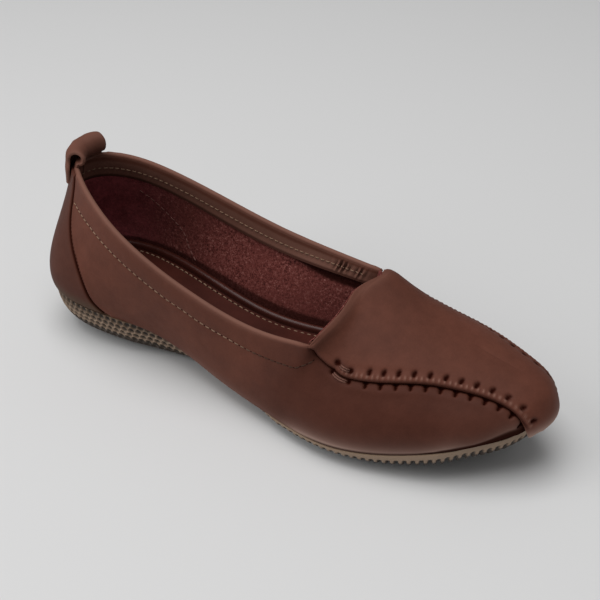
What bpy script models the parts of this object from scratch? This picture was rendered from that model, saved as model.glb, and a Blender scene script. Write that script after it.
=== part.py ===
"""Flat slip-on shoe for the right foot, as an assembly of separate solids.

A hollow leather upper stands on a moulded rubber sole, with an insole inside, a sewn apron over the
toe, a heel counter, a facing inside the collar and a pull loop.  Toe towards +X, outer side of the foot
towards -Y, floor at Z = 0.  Sizes are in millimetres until a mesh is made.
"""

import math

import bpy
import numpy as np

MM = 0.001

# Driving dimensions of the last and the shoe.
LENGTH = 245.0
BALL_WIDTH = 78.5
INSTEP_HEIGHT = 62.5
COLLAR_HEIGHT = 77.0
HEEL_RISE = 22.0

# Where the frame's origin lies, measured from the back of the heel and from the last's axis.
ORIGIN_X = 120.6
ORIGIN_Y = -3.75

# Thickness of the pieces and the play between them.
PLAY = 0.3
PANEL_PLAY = 0.65
WALL = 1.7
APRON_THICKNESS = 1.1
COUNTER_THICKNESS = 0.7
FACING_THICKNESS = 0.8
FACING_DEPTH = 10.0

# Feather line, where upper meets sole: x by length, half widths by ball width.
FEATHER = (
    # station, x, outer, inner
    ("heel_back", 0.008, 0.000, 0.000),
    ("heel_corner", 0.037, 0.275, 0.262),
    ("heel_side", 0.139, 0.368, 0.358),
    ("heel_breast", 0.286, 0.340, 0.290),
    ("waist", 0.429, 0.403, 0.262),
    ("joint", 0.571, 0.492, 0.362),
    ("ball", 0.686, 0.546, 0.448),
    ("toe_side", 0.816, 0.473, 0.418),
    ("toe_corner", 0.927, 0.304, 0.300),
    ("toe_tip", 0.988, 0.010, 0.000),
)

# Height of the feather line along the foot: x by length, height by heel rise.
FEATHER_HEIGHT = (
    # x, height
    (0.000, 1.020),
    (0.163, 0.925),
    (0.306, 0.770),
    (0.449, 0.470),
    (0.592, 0.355),
    (0.714, 0.420),
    (0.837, 0.695),
    (1.000, 1.225),
)

# Collar edge from the outer throat corner round the heel to the inner one: place along the collar,
# x by length, y by ball width, height by collar height.
COLLAR = (
    # place, x, y, height
    (-1.00, 0.629, -0.440, 0.612),
    (-0.87, 0.540, -0.426, 0.578),
    (-0.66, 0.400, -0.406, 0.650),
    (-0.33, 0.196, -0.330, 0.898),
    (-0.18, 0.108, -0.188, 0.980),
    (-0.08, 0.060, -0.070, 0.995),
    (0.00, 0.035, 0.032, 0.990),
    (0.08, 0.049, 0.146, 1.000),
    (0.18, 0.104, 0.250, 0.984),
    (0.33, 0.196, 0.340, 0.895),
    (0.66, 0.400, 0.416, 0.685),
    (1.00, 0.621, 0.424, 0.582),
)

# Ridge of the instep and toe: x by length, height by instep height.
RIDGE = (
    # x, height
    (0.571, 1.100),
    (0.671, 0.958),
    (0.747, 0.822),
    (0.829, 0.712),
    (0.910, 0.617),
    (0.992, 0.520),
)
THROAT_X = 0.671
THROAT_Y = 0.108
RIDGE_FRONT_X = 0.860
RIDGE_FRONT_Y = 0.030
THROAT_BOW_OUTER = 1.08
THROAT_BOW_INNER = 2.00

# The girth parameter runs from 0 at the heel to 1 at the toe tip, negative on the outer side.
CORNER = 0.56
THROAT_TOP = 0.66
FAN = 1.1

# The inner side of the vamp is slacker than the outer, most at the throat: share of the low handle, and the
# girth where it ends.
INNER_SLACK = 0.45
SLACK_END = 0.84

# Wall of the upper by girth: flare at the sole and lean at the top in degrees, handles by rib chord.
WALLS = (
    # girth, flare, low handle, lean, high handle
    (0.00, 31.0, 0.33, 12.0, 0.35),
    (0.20, 17.0, 0.28, 8.0, 0.30),
    (0.40, 15.8, 0.37, 6.0, 0.31),
    (0.56, 13.5, 0.38, 8.0, 0.16),
    (0.62, 12.0, 0.40, 8.0, 0.20),
    (0.68, 11.0, 0.42, 10.0, 0.20),
    (0.82, 9.4, 0.38, 0.0, 0.28),
    (0.92, 9.5, 0.34, 0.0, 0.34),
    (1.00, 9.7, 0.40, 0.0, 0.44),
)

# Seam of the apron on the outer side: girth, and level on the rib from 0 at the sole to 1 at the top.
APRON_SEAM = (
    # girth, level
    (0.560, 1.000),
    (0.600, 0.690),
    (0.638, 0.464),
    (0.660, 0.392),
    (0.690, 0.377),
    (0.750, 0.416),
    (0.810, 0.462),
    (0.870, 0.453),
    (0.906, 0.400),
    (0.926, 0.324),
    (0.940, 0.204),
    (0.951, 0.030),
)
# The seam on the inner side runs higher, up to the front of the toe.
APRON_SEAM_INNER = (
    # girth, level
    (0.560, 1.000),
    (0.600, 0.780),
    (0.640, 0.664),
    (0.680, 0.630),
    (0.720, 0.635),
    (0.760, 0.608),
    (0.800, 0.530),
    (0.840, 0.468),
    (0.870, 0.448),
    (0.906, 0.400),
    (0.926, 0.324),
    (0.940, 0.204),
    (0.951, 0.030),
)
APRON_FOOT = 0.030

# Seam of the heel counter: level on the rib, girth.
COUNTER_SEAM = (
    # level, girth
    (0.000, 0.222),
    (0.048, 0.210),
    (0.212, 0.184),
    (0.376, 0.162),
    (0.544, 0.128),
    (0.684, 0.099),
    (0.824, 0.080),
    (1.000, 0.062),
)
COUNTER_FOOT = 0.030
COUNTER_TOP = 0.975

# Sole: where its top edge stands, its underside and the rounding of its side.
SOLE_LEDGE = (
    # x by length, how far the top edge stands out past the upper, in mm
    (0.00, 0.4),
    (0.22, 0.4),
    (0.32, -5.0),
    (0.46, -5.0),
    (0.57, 0.2),
    (0.86, 0.4),
    (0.94, -2.5),
    (1.00, -4.0),
)
SOLE_UNDERSIDE = (
    # x by length, height in mm
    (0.000, 7.0),
    (0.090, 0.0),
    (0.265, 0.0),
    (0.400, 3.2),
    (0.535, 0.0),
    (0.750, 0.0),
    (0.850, 4.2),
    (1.000, 19.0),
)
SOLE_TUCK = (
    # x by length, how far the side curves in under the feather line, in mm
    (0.00, 17.0),
    (0.14, 16.0),
    (0.40, 13.0),
    (0.68, 17.0),
    (0.85, 17.0),
    (1.00, 19.0),
)

# Insole: flat thickness and the bead round its edge.
INSOLE_THICKNESS = 2.5
BEAD_HEIGHT = 1.5
BEAD_WIDTH = 3.2
INSOLE_PLAY = 0.5

# Pull loop: a wide strap up the back of the heel, turned forward over the collar's edge.  Its two edges by
# girth, how straight it turns forward, how much taller it is on the inner side, and its centre line over
# the edge.
LOOP_THICKNESS = 1.4
LOOP_PLAY = 0.65
LOOP_DEPTH = 9.0
LOOP_EDGES = (-0.040, 0.054)
LOOP_STRAIGHT = 0.6
LOOP_TILT = 0.16
LOOP_LINE = (
    # forward, up
    (-2.2, 1.6),
    (-1.7, 4.4),
    (0.0, 7.0),
    (2.8, 8.0),
    (5.2, 6.8),
    (5.8, 4.4),
    (4.6, 2.5),
    (2.6, 1.7),
)

RIB_STEP = 0.02
TOE_RIB_STEP = 0.01
TOE_START = 0.86
LEVELS = 10
APRON_LEVELS = 7
COUNTER_RIBS = 11
COUNTER_LEVELS = 7
SOLE_STEPS = 8
LOOP_STEPS = 26
LOOP_RIBS = 4


def cubic_through(places, values, closed=False):
    """Smooth cubic through the rows of values; a closed one repeats its first row at the end."""
    places = np.asarray(places, float)
    values = np.asarray(values, float).reshape(len(places), -1)
    count = len(places) - 1
    step = np.diff(places)
    slope = np.diff(values, axis=0) / step[:, None]
    size = count if closed else count + 1
    matrix = np.zeros((size, size))
    target = np.zeros((size, values.shape[1]))
    for row in range(0 if closed else 1, count):
        back = (row - 1) % count
        matrix[row, back % size] += step[back]
        matrix[row, row] += 2.0 * (step[back] + step[row])
        matrix[row, (row + 1) % size] += step[row]
        target[row] = 6.0 * (slope[row] - slope[back])
    if not closed:
        matrix[0, 0] = 1.0
        matrix[count, count] = 1.0
    bend = np.linalg.solve(matrix, target)
    if closed:
        bend = np.vstack([bend, bend[:1]])

    def at(place):
        place = np.asarray(place, float)
        flat = place.ravel()
        if closed:
            flat = places[0] + np.mod(flat - places[0], places[-1] - places[0])
        left = np.clip(np.searchsorted(places, flat, side="right") - 1, 0, count - 1)
        wide = step[left][:, None]
        after = (places[left + 1] - flat)[:, None]
        before = (flat - places[left])[:, None]
        curve = (bend[left] * after**3 + bend[left + 1] * before**3) / (6.0 * wide)
        line = (values[left] / wide - bend[left] * wide / 6.0) * after
        line += (values[left + 1] / wide - bend[left + 1] * wide / 6.0) * before
        return (curve + line).reshape(place.shape + (values.shape[1],))

    return at


def unit(vectors):
    return vectors / (np.linalg.norm(vectors, axis=-1, keepdims=True) + 1e-12)


def ease(value):
    value = np.clip(value, 0.0, 1.0)
    return value * value * (3.0 - 2.0 * value)


def rib_places(first=0.0, last=1.0):
    """Girths of the ribs on one side, closer together round the toe."""
    body = np.arange(0.0, TOE_START - 0.5 * TOE_RIB_STEP, RIB_STEP)
    toe = np.arange(TOE_START, 1.0 + 0.5 * TOE_RIB_STEP, TOE_RIB_STEP)
    places = np.round(np.concatenate([body, toe]), 4)
    return places[(places >= first) & (places <= last)]


def both_sides(places):
    """Girths from the toe tip by the inner side, round the heel, to the toe tip by the outer side."""
    return np.concatenate([places[::-1], -places[1:]])


def level(points):
    """Plan points as points in space at height 0."""
    return np.concatenate([points, np.zeros(points.shape[:-1] + (1,))], -1)


def outline_by_girth():
    """Dense plan of the feather line: girth and points for the outer and the inner side."""
    outer = [(x * LENGTH, -half * BALL_WIDTH) for _, x, half, _ in FEATHER]
    inner = [(x * LENGTH, half * BALL_WIDTH) for _, x, _, half in FEATHER[1:-1]]
    loop = np.array(outer + inner[::-1] + outer[:1])
    reach = np.concatenate([[0.0], np.cumsum(np.sqrt(np.linalg.norm(np.diff(loop, axis=0), axis=1)))])
    curve = cubic_through(reach, loop, closed=True)
    sides = []
    for first, last in ((0.0, reach[len(FEATHER) - 1]), (reach[-1], reach[len(FEATHER) - 1])):
        points = curve(np.linspace(first, last - 1e-9, 2000))
        run = np.concatenate([[0.0], np.cumsum(np.linalg.norm(np.diff(points, axis=0), axis=1))])
        sides.append((run / run[-1], points))
    return sides


OUTER_SIDE, INNER_SIDE = outline_by_girth()
feather_height = cubic_through([row[0] * LENGTH for row in FEATHER_HEIGHT],
                               [row[1] * HEEL_RISE for row in FEATHER_HEIGHT])
collar_edge = cubic_through([row[0] for row in COLLAR],
                            [(x * LENGTH, y * BALL_WIDTH, z * COLLAR_HEIGHT) for _, x, y, z in COLLAR])
ridge_height = cubic_through([row[0] * LENGTH for row in RIDGE],
                             [row[1] * INSTEP_HEIGHT for row in RIDGE])
wall_shape = cubic_through([row[0] for row in WALLS], [row[1:] for row in WALLS])


def plan(girth):
    """Feather line in plan."""
    girth = np.asarray(girth, float)
    outer = [np.interp(-girth, OUTER_SIDE[0], OUTER_SIDE[1][:, axis]) for axis in (0, 1)]
    inner = [np.interp(girth, INNER_SIDE[0], INNER_SIDE[1][:, axis]) for axis in (0, 1)]
    return np.where((girth < 0.0)[..., None], np.stack(outer, -1), np.stack(inner, -1))


def outward(girth):
    """Unit plan direction away from the foot, across the feather line."""
    girth = np.asarray(girth, float)
    small = 0.004
    tip = np.abs(girth) > 1.0 - small
    inside = np.where(tip, np.sign(girth) * (1.0 - small), girth)
    along = plan(inside + small) - plan(inside - small)
    across = unit(np.stack([along[..., 1], -along[..., 0]], -1))
    middle = np.array([0.5 * LENGTH, 0.0])
    across *= np.sign(((plan(inside) - middle) * across).sum(-1, keepdims=True))
    return np.where((np.abs(girth) >= 1.0)[..., None], np.array([1.0, 0.0]), across)


def feather(girth):
    points = plan(girth)
    return np.concatenate([points, feather_height(points[..., 0])], -1)


def crest(girth):
    """Top of each rib: the collar edge, then the throat edge, then the ridge to the toe."""
    girth = np.asarray(girth, float)
    size = np.abs(girth)
    collar = collar_edge(np.clip(girth / CORNER, -1.0, 1.0))
    corner = collar_edge(np.where(girth < 0.0, -1.0, 1.0))
    top_x = THROAT_X * LENGTH
    top_y = THROAT_Y * BALL_WIDTH
    top_z = float(ridge_height(top_x)[..., 0])
    turn = 0.5 * math.pi * np.clip((size - CORNER) / (THROAT_TOP - CORNER), 0.0, 1.0)
    bow = np.where(girth < 0.0, THROAT_BOW_OUTER, THROAT_BOW_INNER)
    aside = np.cos(turn) ** bow
    rise = np.sin(turn) ** bow
    throat = np.stack([corner[..., 0] + (top_x - corner[..., 0]) * (0.6 * rise + 0.4 * (1.0 - aside)),
                       top_y + (corner[..., 1] - top_y) * aside,
                       corner[..., 2] + (top_z - corner[..., 2]) * rise], -1)
    run = np.clip((size - THROAT_TOP) / (1.0 - THROAT_TOP), 0.0, 1.0)
    ridge_x = top_x + (RIDGE_FRONT_X * LENGTH - top_x) * run
    ridge_y = top_y + (RIDGE_FRONT_Y * BALL_WIDTH - top_y) * run
    ridge = np.stack([ridge_x, ridge_y, ridge_height(ridge_x)[..., 0]], -1)
    front = np.where((size <= THROAT_TOP)[..., None], throat, ridge)
    return np.where((size <= CORNER)[..., None], collar, front)


def skin(girth, height):
    """Outer face of the upper: a cubic rib at each girth, from the sole at 0 to its top at 1."""
    girth, height = np.broadcast_arrays(np.asarray(girth, float), np.asarray(height, float))
    size = np.abs(girth)
    foot = feather(girth)
    top = crest(girth)
    away = level(outward(girth))
    up = np.array([0.0, 0.0, 1.0])
    flare, low, lean, high = np.moveaxis(wall_shape(size), -1, 0)
    slack = ease((size - CORNER) / (THROAT_TOP - CORNER))
    slack *= 1.0 - ease((size - THROAT_TOP) / (SLACK_END - THROAT_TOP))
    low = low * (1.0 - INNER_SLACK * np.where(girth > 0.0, slack, 0.0))
    flare = np.radians(flare)[..., None]
    lean = np.radians(lean)[..., None]
    chord = np.linalg.norm(top - foot, axis=-1)
    rise = foot + (low * chord)[..., None] * (away * np.sin(flare) + up * np.cos(flare))
    drop = ridge_height(top[..., 0] + 1.0)[..., 0] - ridge_height(top[..., 0] - 1.0)[..., 0]
    back = unit(np.stack([-np.ones_like(drop), np.zeros_like(drop), -0.5 * drop], -1))
    fan = 0.5 * math.pi * np.clip((size - THROAT_TOP) / (1.0 - THROAT_TOP), 0.0, 1.0) ** FAN
    over = np.stack([np.zeros_like(size), np.where(girth < 0.0, 1.0, -1.0), np.zeros_like(size)], -1)
    vamp_end = over * np.cos(fan)[..., None] + back * np.sin(fan)[..., None]
    collar_end = up * np.cos(lean) - away * np.sin(lean)
    share = ease((size - CORNER) / (THROAT_TOP - CORNER))[..., None]
    end = unit(collar_end * (1.0 - share) + vamp_end * share)
    fall = top - (high * chord)[..., None] * end
    height = height[..., None]
    rest = 1.0 - height
    return foot * rest**3 + 3.0 * rise * height * rest**2 + 3.0 * fall * height**2 * rest + top * height**3


def weld(points, faces):
    """Join points that lie at one place and drop faces that fold to a line."""
    places = {}
    index = []
    kept = []
    for point in points:
        key = tuple(np.round(point, 4))
        if key not in places:
            places[key] = len(kept)
            kept.append(point)
        index.append(places[key])
    joined = []
    for face in faces:
        corners = []
        for corner in face:
            if index[corner] not in corners:
                corners.append(index[corner])
        if len(corners) > 2:
            joined.append(tuple(corners))
    return np.array(kept), joined


def grid_faces(rows, columns):
    return [(row * columns + column, (row + 1) * columns + column,
             (row + 1) * columns + column + 1, row * columns + column + 1)
            for row in range(rows - 1) for column in range(columns - 1)]


def sheet_normals(points, faces):
    """Normals of a sheet's points, weighted by the area of the faces round each."""
    total = np.zeros_like(points)
    for face in faces:
        corners = points[list(face)]
        normal = np.cross(corners[2] - corners[0], corners[-1] - corners[1])
        for corner in face:
            total[corner] += normal
    return unit(total)


def thick_sheet(points, faces, low, high, level_feet=False):
    """Closed solid between two offsets of a sheet; level feet keep the lower edge flat on the sole."""
    normals = sheet_normals(points, faces)
    inside = points + low * normals
    outside = points + high * normals
    edges = {}
    for face in faces:
        for first, second in zip(face, face[1:] + face[:1]):
            edges[(first, second)] = True
    rim = [edge for edge in edges if (edge[1], edge[0]) not in edges]
    if level_feet:
        for corner in {corner for edge in rim for corner in edge}:
            on_feather = abs(points[corner, 2] - feather_height(points[corner, 0])[0]) < 0.01
            if on_feather:
                inside[corner, 2] = points[corner, 2]
    count = len(points)
    solid = [tuple(corner + count for corner in face) for face in faces]
    solid += [tuple(reversed(face)) for face in faces]
    solid += [(first, second, second + count, first + count) for first, second in rim]
    return np.vstack([inside, outside]), solid


def upper_sheet():
    girth = both_sides(rib_places())
    height = np.linspace(0.0, 1.0, LEVELS + 1)
    points = skin(girth[:, None], height[None, :]).reshape(-1, 3)
    return weld(points, grid_faces(len(girth), len(height)))


def apron_half(side, table):
    """Points of the panel on one side, from its seam up to the ridge, by girth and by level."""
    seam = cubic_through([row[0] for row in table], [row[1] for row in table])
    girth = rib_places(first=CORNER)
    foot = np.where(girth > table[-1][0], APRON_FOOT, seam(girth)[..., 0])
    foot = np.clip(foot, APRON_FOOT, 1.0)
    climb = np.linspace(0.0, 1.0, APRON_LEVELS + 1)
    height = foot[:, None] + (1.0 - foot[:, None]) * climb
    return skin(side * girth[:, None], height)


def apron_sheet():
    """Panel between the two seams: one half climbs the outer side to the ridge, the other the inner side."""
    outer = apron_half(-1.0, APRON_SEAM)
    inner = apron_half(1.0, APRON_SEAM_INNER)[:, ::-1]
    half = grid_faces(*outer.shape[:2])
    size = outer[..., 0].size
    other = [tuple(corner + size for corner in face) for face in half]
    return weld(np.vstack([outer.reshape(-1, 3), inner.reshape(-1, 3)]), half + other)


def counter_sheet():
    seam = cubic_through([row[0] for row in COUNTER_SEAM], [row[1] for row in COUNTER_SEAM])
    height = np.linspace(COUNTER_FOOT, COUNTER_TOP, COUNTER_LEVELS + 1)
    side = np.linspace(1.0, -1.0, 2 * COUNTER_RIBS + 1)
    girth = side[:, None] * seam(height)[..., 0]
    points = skin(girth, np.broadcast_to(height, girth.shape)).reshape(-1, 3)
    return weld(points, grid_faces(len(side), len(height)))


def facing_sheet():
    girth = both_sides(rib_places(last=CORNER - RIB_STEP))
    chord = np.linalg.norm(crest(girth) - feather(girth), axis=-1)
    depth = np.linspace(1.0, 0.0, 3) * FACING_DEPTH
    height = 1.0 - depth[None, :] / chord[:, None]
    points = skin(girth[:, None], height).reshape(-1, 3)
    return weld(points, grid_faces(len(girth), len(depth)))


def ladder(sections):
    """Closed solid from one open profile at each girth; the profile ends meet on a spine, top and bottom."""
    sections = np.asarray(sections)
    count, steps = sections.shape[:2]
    half = (count - 1) // 2
    faces = grid_faces(count, steps)
    points = [tuple(point) for point in sections.reshape(-1, 3)]
    for column in (0, steps - 1):
        spine = []
        for rung in range(half + 1):
            outer = sections[half - rung, column]
            inner = sections[half + rung, column]
            spine.append(len(points))
            points.append(tuple(0.5 * (outer + inner)))
        for rung in range(half):
            for side in (-1, 1):
                near = (half + side * rung) * steps + column
                far = (half + side * (rung + 1)) * steps + column
                face = (near, far, spine[rung + 1], spine[rung])
                turned = (side > 0) == (column > 0)
                faces.append(face if turned else tuple(reversed(face)))
    return weld(np.array(points), faces)


def along_table(table, x):
    return np.interp(x, [row[0] * LENGTH for row in table], [row[1] for row in table])


def underside(x):
    """Height of the sole's underside: flat under heel and ball, easing into the arch and toe spring."""
    places = np.array([row[0] * LENGTH for row in SOLE_UNDERSIDE])
    heights = np.array([row[1] for row in SOLE_UNDERSIDE])
    x = np.clip(np.asarray(x, float), places[0], places[-1])
    left = np.clip(np.searchsorted(places, x, side="right") - 1, 0, len(places) - 2)
    share = (x - places[left]) / (places[left + 1] - places[left])
    start, stop = heights[left], heights[left + 1]
    smooth = np.where((start == 0.0) | (stop == 0.0), ease(share), share)
    sharp_rise = np.where(start == 0.0, share**1.6, smooth)
    return start + (stop - start) * np.where(left >= len(places) - 3, sharp_rise, smooth)


def outsole():
    girth = both_sides(rib_places())
    top = feather(girth) - np.array([0.0, 0.0, PLAY])
    away = level(outward(girth))
    tuck = along_table(SOLE_TUCK, top[:, 0])
    edge = top + away * along_table(SOLE_LEDGE, top[:, 0])[:, None]
    edge[:, 2] = feather_height(edge[:, 0])[:, 0] - PLAY
    foot = plan(girth) - outward(girth) * tuck[:, None]
    floor = underside(foot[:, 0])
    profile = []
    for turn in np.linspace(0.0, 0.5 * math.pi, SOLE_STEPS):
        share = 1.0 - math.cos(turn)
        point = edge * (1.0 - share) + np.concatenate([foot, edge[:, 2:]], 1) * share
        point[:, 2] = edge[:, 2] + (floor - edge[:, 2]) * math.sin(turn)
        profile.append(point)
    return ladder(np.stack(profile, axis=1))


def insole():
    girth = both_sides(rib_places())
    edge = plan(girth) - outward(girth) * (WALL + INSOLE_PLAY)
    away = level(outward(girth))
    base = np.concatenate([edge, feather_height(edge[:, 0])], 1)
    rows = (
        # inward, up
        (0.0, 0.0),
        (0.0, INSOLE_THICKNESS),
        (0.25 * BEAD_WIDTH, INSOLE_THICKNESS + 0.85 * BEAD_HEIGHT),
        (0.60 * BEAD_WIDTH, INSOLE_THICKNESS + BEAD_HEIGHT),
        (1.10 * BEAD_WIDTH, INSOLE_THICKNESS),
    )
    profile = [base - away * inward + np.array([0.0, 0.0, up]) for inward, up in rows]
    return ladder(np.stack(profile[::-1], axis=1))


def loop_sheet():
    """Middle of the strap: up the back of the heel at its play, then over the collar's edge."""
    girth = np.linspace(LOOP_EDGES[1], LOOP_EDGES[0], LOOP_RIBS + 1)
    chord = np.linalg.norm(crest(girth) - feather(girth), axis=-1)
    gap = PANEL_PLAY + COUNTER_THICKNESS + LOOP_PLAY + 0.5 * LOOP_THICKNESS
    knots = []
    for depth in (1.0, 0.6, 0.2):
        height = 1.0 - depth * LOOP_DEPTH / chord
        around = skin(girth - 0.003, height) - skin(girth + 0.003, height)
        rise = skin(girth, height + 0.01) - skin(girth, height - 0.01)
        knots.append(skin(girth, height) + gap * unit(np.cross(around, rise)))
    forward = unit(LOOP_STRAIGHT * np.array([1.0, 0.0]) - (1.0 - LOOP_STRAIGHT) * outward(girth))
    taller = 1.0 + LOOP_TILT * np.linspace(1.0, -1.0, LOOP_RIBS + 1)
    for reach, up in LOOP_LINE:
        knots.append(crest(girth) + level(reach * forward) + np.outer(up * taller, (0.0, 0.0, 1.0)))
    knots = np.array(knots)
    places = np.linspace(0.0, 1.0, len(knots))
    line = cubic_through(places, knots.reshape(len(knots), -1))(np.linspace(0.0, 1.0, LOOP_STEPS + 1))
    points = line.reshape(LOOP_STEPS + 1, LOOP_RIBS + 1, 3).transpose(1, 0, 2).reshape(-1, 3)
    return weld(points, grid_faces(LOOP_RIBS + 1, LOOP_STEPS + 1))


def material(name, colour, roughness):
    made = bpy.data.materials.new(name)
    made.use_nodes = True
    shader = made.node_tree.nodes["Principled BSDF"]
    shader.inputs["Base Color"].default_value = (*colour, 1.0)
    shader.inputs["Roughness"].default_value = roughness
    shader.inputs["Metallic"].default_value = 0.0
    return made


def triangles(points, faces):
    """Four-sided faces cut along their shorter diagonal, so that curved pieces keep their play."""
    cut = []
    for face in faces:
        if len(face) == 4:
            across = np.linalg.norm(points[face[2]] - points[face[0]])
            other = np.linalg.norm(points[face[3]] - points[face[1]])
            if other < across:
                face = face[1:] + face[:1]
        cut += [(face[0], face[step], face[step + 1]) for step in range(1, len(face) - 1)]
    return cut


def signed_volume(points, faces):
    corners = points[np.array(faces)]
    return np.einsum("ij,ij->", corners[:, 0], np.cross(corners[:, 1], corners[:, 2])) / 6.0


def add_solid(name, solid, finish, parent):
    points, faces = solid
    faces = triangles(points, faces)
    if signed_volume(points, faces) < 0.0:
        faces = [tuple(reversed(face)) for face in faces]
    mesh = bpy.data.meshes.new(name)
    placed = (points - np.array([ORIGIN_X, ORIGIN_Y, 0.0])) * MM
    mesh.from_pydata([tuple(point) for point in placed], [], faces)
    mesh.update()
    mesh.materials.append(finish)
    made = bpy.data.objects.new(name, mesh)
    bpy.context.scene.collection.objects.link(made)
    made.parent = parent
    return made


def main():
    for item in list(bpy.data.objects):
        bpy.data.objects.remove(item, do_unlink=True)
    shoe = bpy.data.objects.new("shoe", None)
    bpy.context.scene.collection.objects.link(shoe)
    leather = material("brown_leather", (0.110, 0.052, 0.036), 0.62)
    rubber = material("tan_rubber", (0.240, 0.190, 0.135), 0.70)
    footbed = material("oxblood_leather", (0.080, 0.018, 0.016), 0.45)
    add_solid("outsole", outsole(), rubber, shoe)
    add_solid("insole", insole(), footbed, shoe)
    add_solid("upper", thick_sheet(*upper_sheet(), -WALL, 0.0, level_feet=True), leather, shoe)
    add_solid("apron", thick_sheet(*apron_sheet(), PANEL_PLAY, PANEL_PLAY + APRON_THICKNESS), leather, shoe)
    counter_face = PANEL_PLAY + COUNTER_THICKNESS
    add_solid("heel_counter", thick_sheet(*counter_sheet(), PANEL_PLAY, counter_face), leather, shoe)
    facing_top = -WALL - PLAY
    add_solid("collar_facing", thick_sheet(*facing_sheet(), facing_top - FACING_THICKNESS, facing_top),
              leather, shoe)
    half_strap = 0.5 * LOOP_THICKNESS
    add_solid("pull_loop", thick_sheet(*loop_sheet(), -half_strap, half_strap), leather, shoe)


if __name__ == "__main__":
    main()
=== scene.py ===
"""Looks of the flat slip-on shoe for the right foot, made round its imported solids.

The forms are worked out from the same sizes and functions as the solids, only finer, and dressed with
seams, stitches, lining, tread and leather.  Toe towards +X, outer side of the foot towards -Y, floor at
Z = 0.  Sizes are in millimetres until a mesh is made.
"""

import math

import bpy
import numpy as np
from mathutils import Matrix, Vector
from mathutils.bvhtree import BVHTree
from mathutils.kdtree import KDTree


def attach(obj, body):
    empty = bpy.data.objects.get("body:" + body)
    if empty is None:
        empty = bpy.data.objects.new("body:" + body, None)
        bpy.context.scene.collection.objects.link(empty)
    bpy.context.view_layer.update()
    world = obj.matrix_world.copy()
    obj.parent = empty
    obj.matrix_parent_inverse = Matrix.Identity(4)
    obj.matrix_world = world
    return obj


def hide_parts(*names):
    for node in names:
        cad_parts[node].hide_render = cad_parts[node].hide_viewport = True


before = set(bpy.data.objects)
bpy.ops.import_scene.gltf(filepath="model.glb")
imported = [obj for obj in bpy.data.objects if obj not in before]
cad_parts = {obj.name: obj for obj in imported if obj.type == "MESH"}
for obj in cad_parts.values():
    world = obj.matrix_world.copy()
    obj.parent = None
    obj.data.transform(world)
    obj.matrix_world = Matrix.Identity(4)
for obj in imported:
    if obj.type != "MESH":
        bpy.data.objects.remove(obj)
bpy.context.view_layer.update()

MM = 0.001
BODY = "root"

# Driving dimensions of the last and the shoe.
LENGTH = 245.0
BALL_WIDTH = 78.5
INSTEP_HEIGHT = 62.5
COLLAR_HEIGHT = 77.0
HEEL_RISE = 22.0

# Where the frame's origin lies, measured from the back of the heel and from the last's axis, and up.
ORIGIN = np.array([120.6, -3.75, 0.0])
UP = np.array([0.0, 0.0, 1.0])

# Thickness of the upper's wall, and the play between it and the sole.
WALL = 1.7
PLAY = 0.3

# Feather line, where upper meets sole: x by length, half widths by ball width.
FEATHER = (
    # station, x, outer, inner
    ("heel_back", 0.008, 0.000, 0.000),
    ("heel_corner", 0.037, 0.275, 0.262),
    ("heel_side", 0.139, 0.368, 0.358),
    ("heel_breast", 0.286, 0.340, 0.290),
    ("waist", 0.429, 0.403, 0.262),
    ("joint", 0.571, 0.492, 0.362),
    ("ball", 0.686, 0.546, 0.448),
    ("toe_side", 0.816, 0.473, 0.418),
    ("toe_corner", 0.927, 0.304, 0.300),
    ("toe_tip", 0.988, 0.010, 0.000),
)

# Height of the feather line along the foot: x by length, height by heel rise.
FEATHER_HEIGHT = (
    # x, height
    (0.000, 1.020),
    (0.163, 0.925),
    (0.306, 0.770),
    (0.449, 0.470),
    (0.592, 0.355),
    (0.714, 0.420),
    (0.837, 0.695),
    (1.000, 1.225),
)

# Collar edge from the outer throat corner round the heel to the inner one: place along the collar,
# x by length, y by ball width, height by collar height.
COLLAR = (
    # place, x, y, height
    (-1.00, 0.629, -0.440, 0.612),
    (-0.87, 0.540, -0.426, 0.578),
    (-0.66, 0.400, -0.406, 0.650),
    (-0.33, 0.196, -0.330, 0.898),
    (-0.18, 0.108, -0.188, 0.980),
    (-0.08, 0.060, -0.070, 0.995),
    (0.00, 0.035, 0.032, 0.990),
    (0.08, 0.049, 0.146, 1.000),
    (0.18, 0.104, 0.250, 0.984),
    (0.33, 0.196, 0.340, 0.895),
    (0.66, 0.400, 0.416, 0.685),
    (1.00, 0.621, 0.424, 0.582),
)

# Ridge of the instep and toe: x by length, height by instep height.
RIDGE = (
    # x, height
    (0.571, 1.100),
    (0.671, 0.958),
    (0.747, 0.822),
    (0.829, 0.712),
    (0.910, 0.617),
    (0.992, 0.520),
)
THROAT_X = 0.671
THROAT_Y = 0.108
RIDGE_FRONT_X = 0.860
RIDGE_FRONT_Y = 0.030
THROAT_BOW_OUTER = 1.08
THROAT_BOW_INNER = 2.00

# The girth parameter runs from 0 at the heel to 1 at the toe tip, negative on the outer side.
CORNER = 0.56
THROAT_TOP = 0.66
FAN = 1.1

# The inner side of the vamp is slacker than the outer, most at the throat: share of the low handle, and the
# girth where it ends.
INNER_SLACK = 0.45
SLACK_END = 0.84

# Wall of the upper by girth: flare at the sole and lean at the top in degrees, handles by rib chord.
WALLS = (
    # girth, flare, low handle, lean, high handle
    (0.00, 31.0, 0.33, 12.0, 0.35),
    (0.20, 17.0, 0.28, 8.0, 0.30),
    (0.40, 15.8, 0.37, 6.0, 0.31),
    (0.56, 13.5, 0.38, 8.0, 0.16),
    (0.62, 12.0, 0.40, 8.0, 0.20),
    (0.68, 11.0, 0.42, 10.0, 0.20),
    (0.82, 9.4, 0.38, 0.0, 0.28),
    (0.92, 9.5, 0.34, 0.0, 0.34),
    (1.00, 9.7, 0.40, 0.0, 0.44),
)

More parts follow.
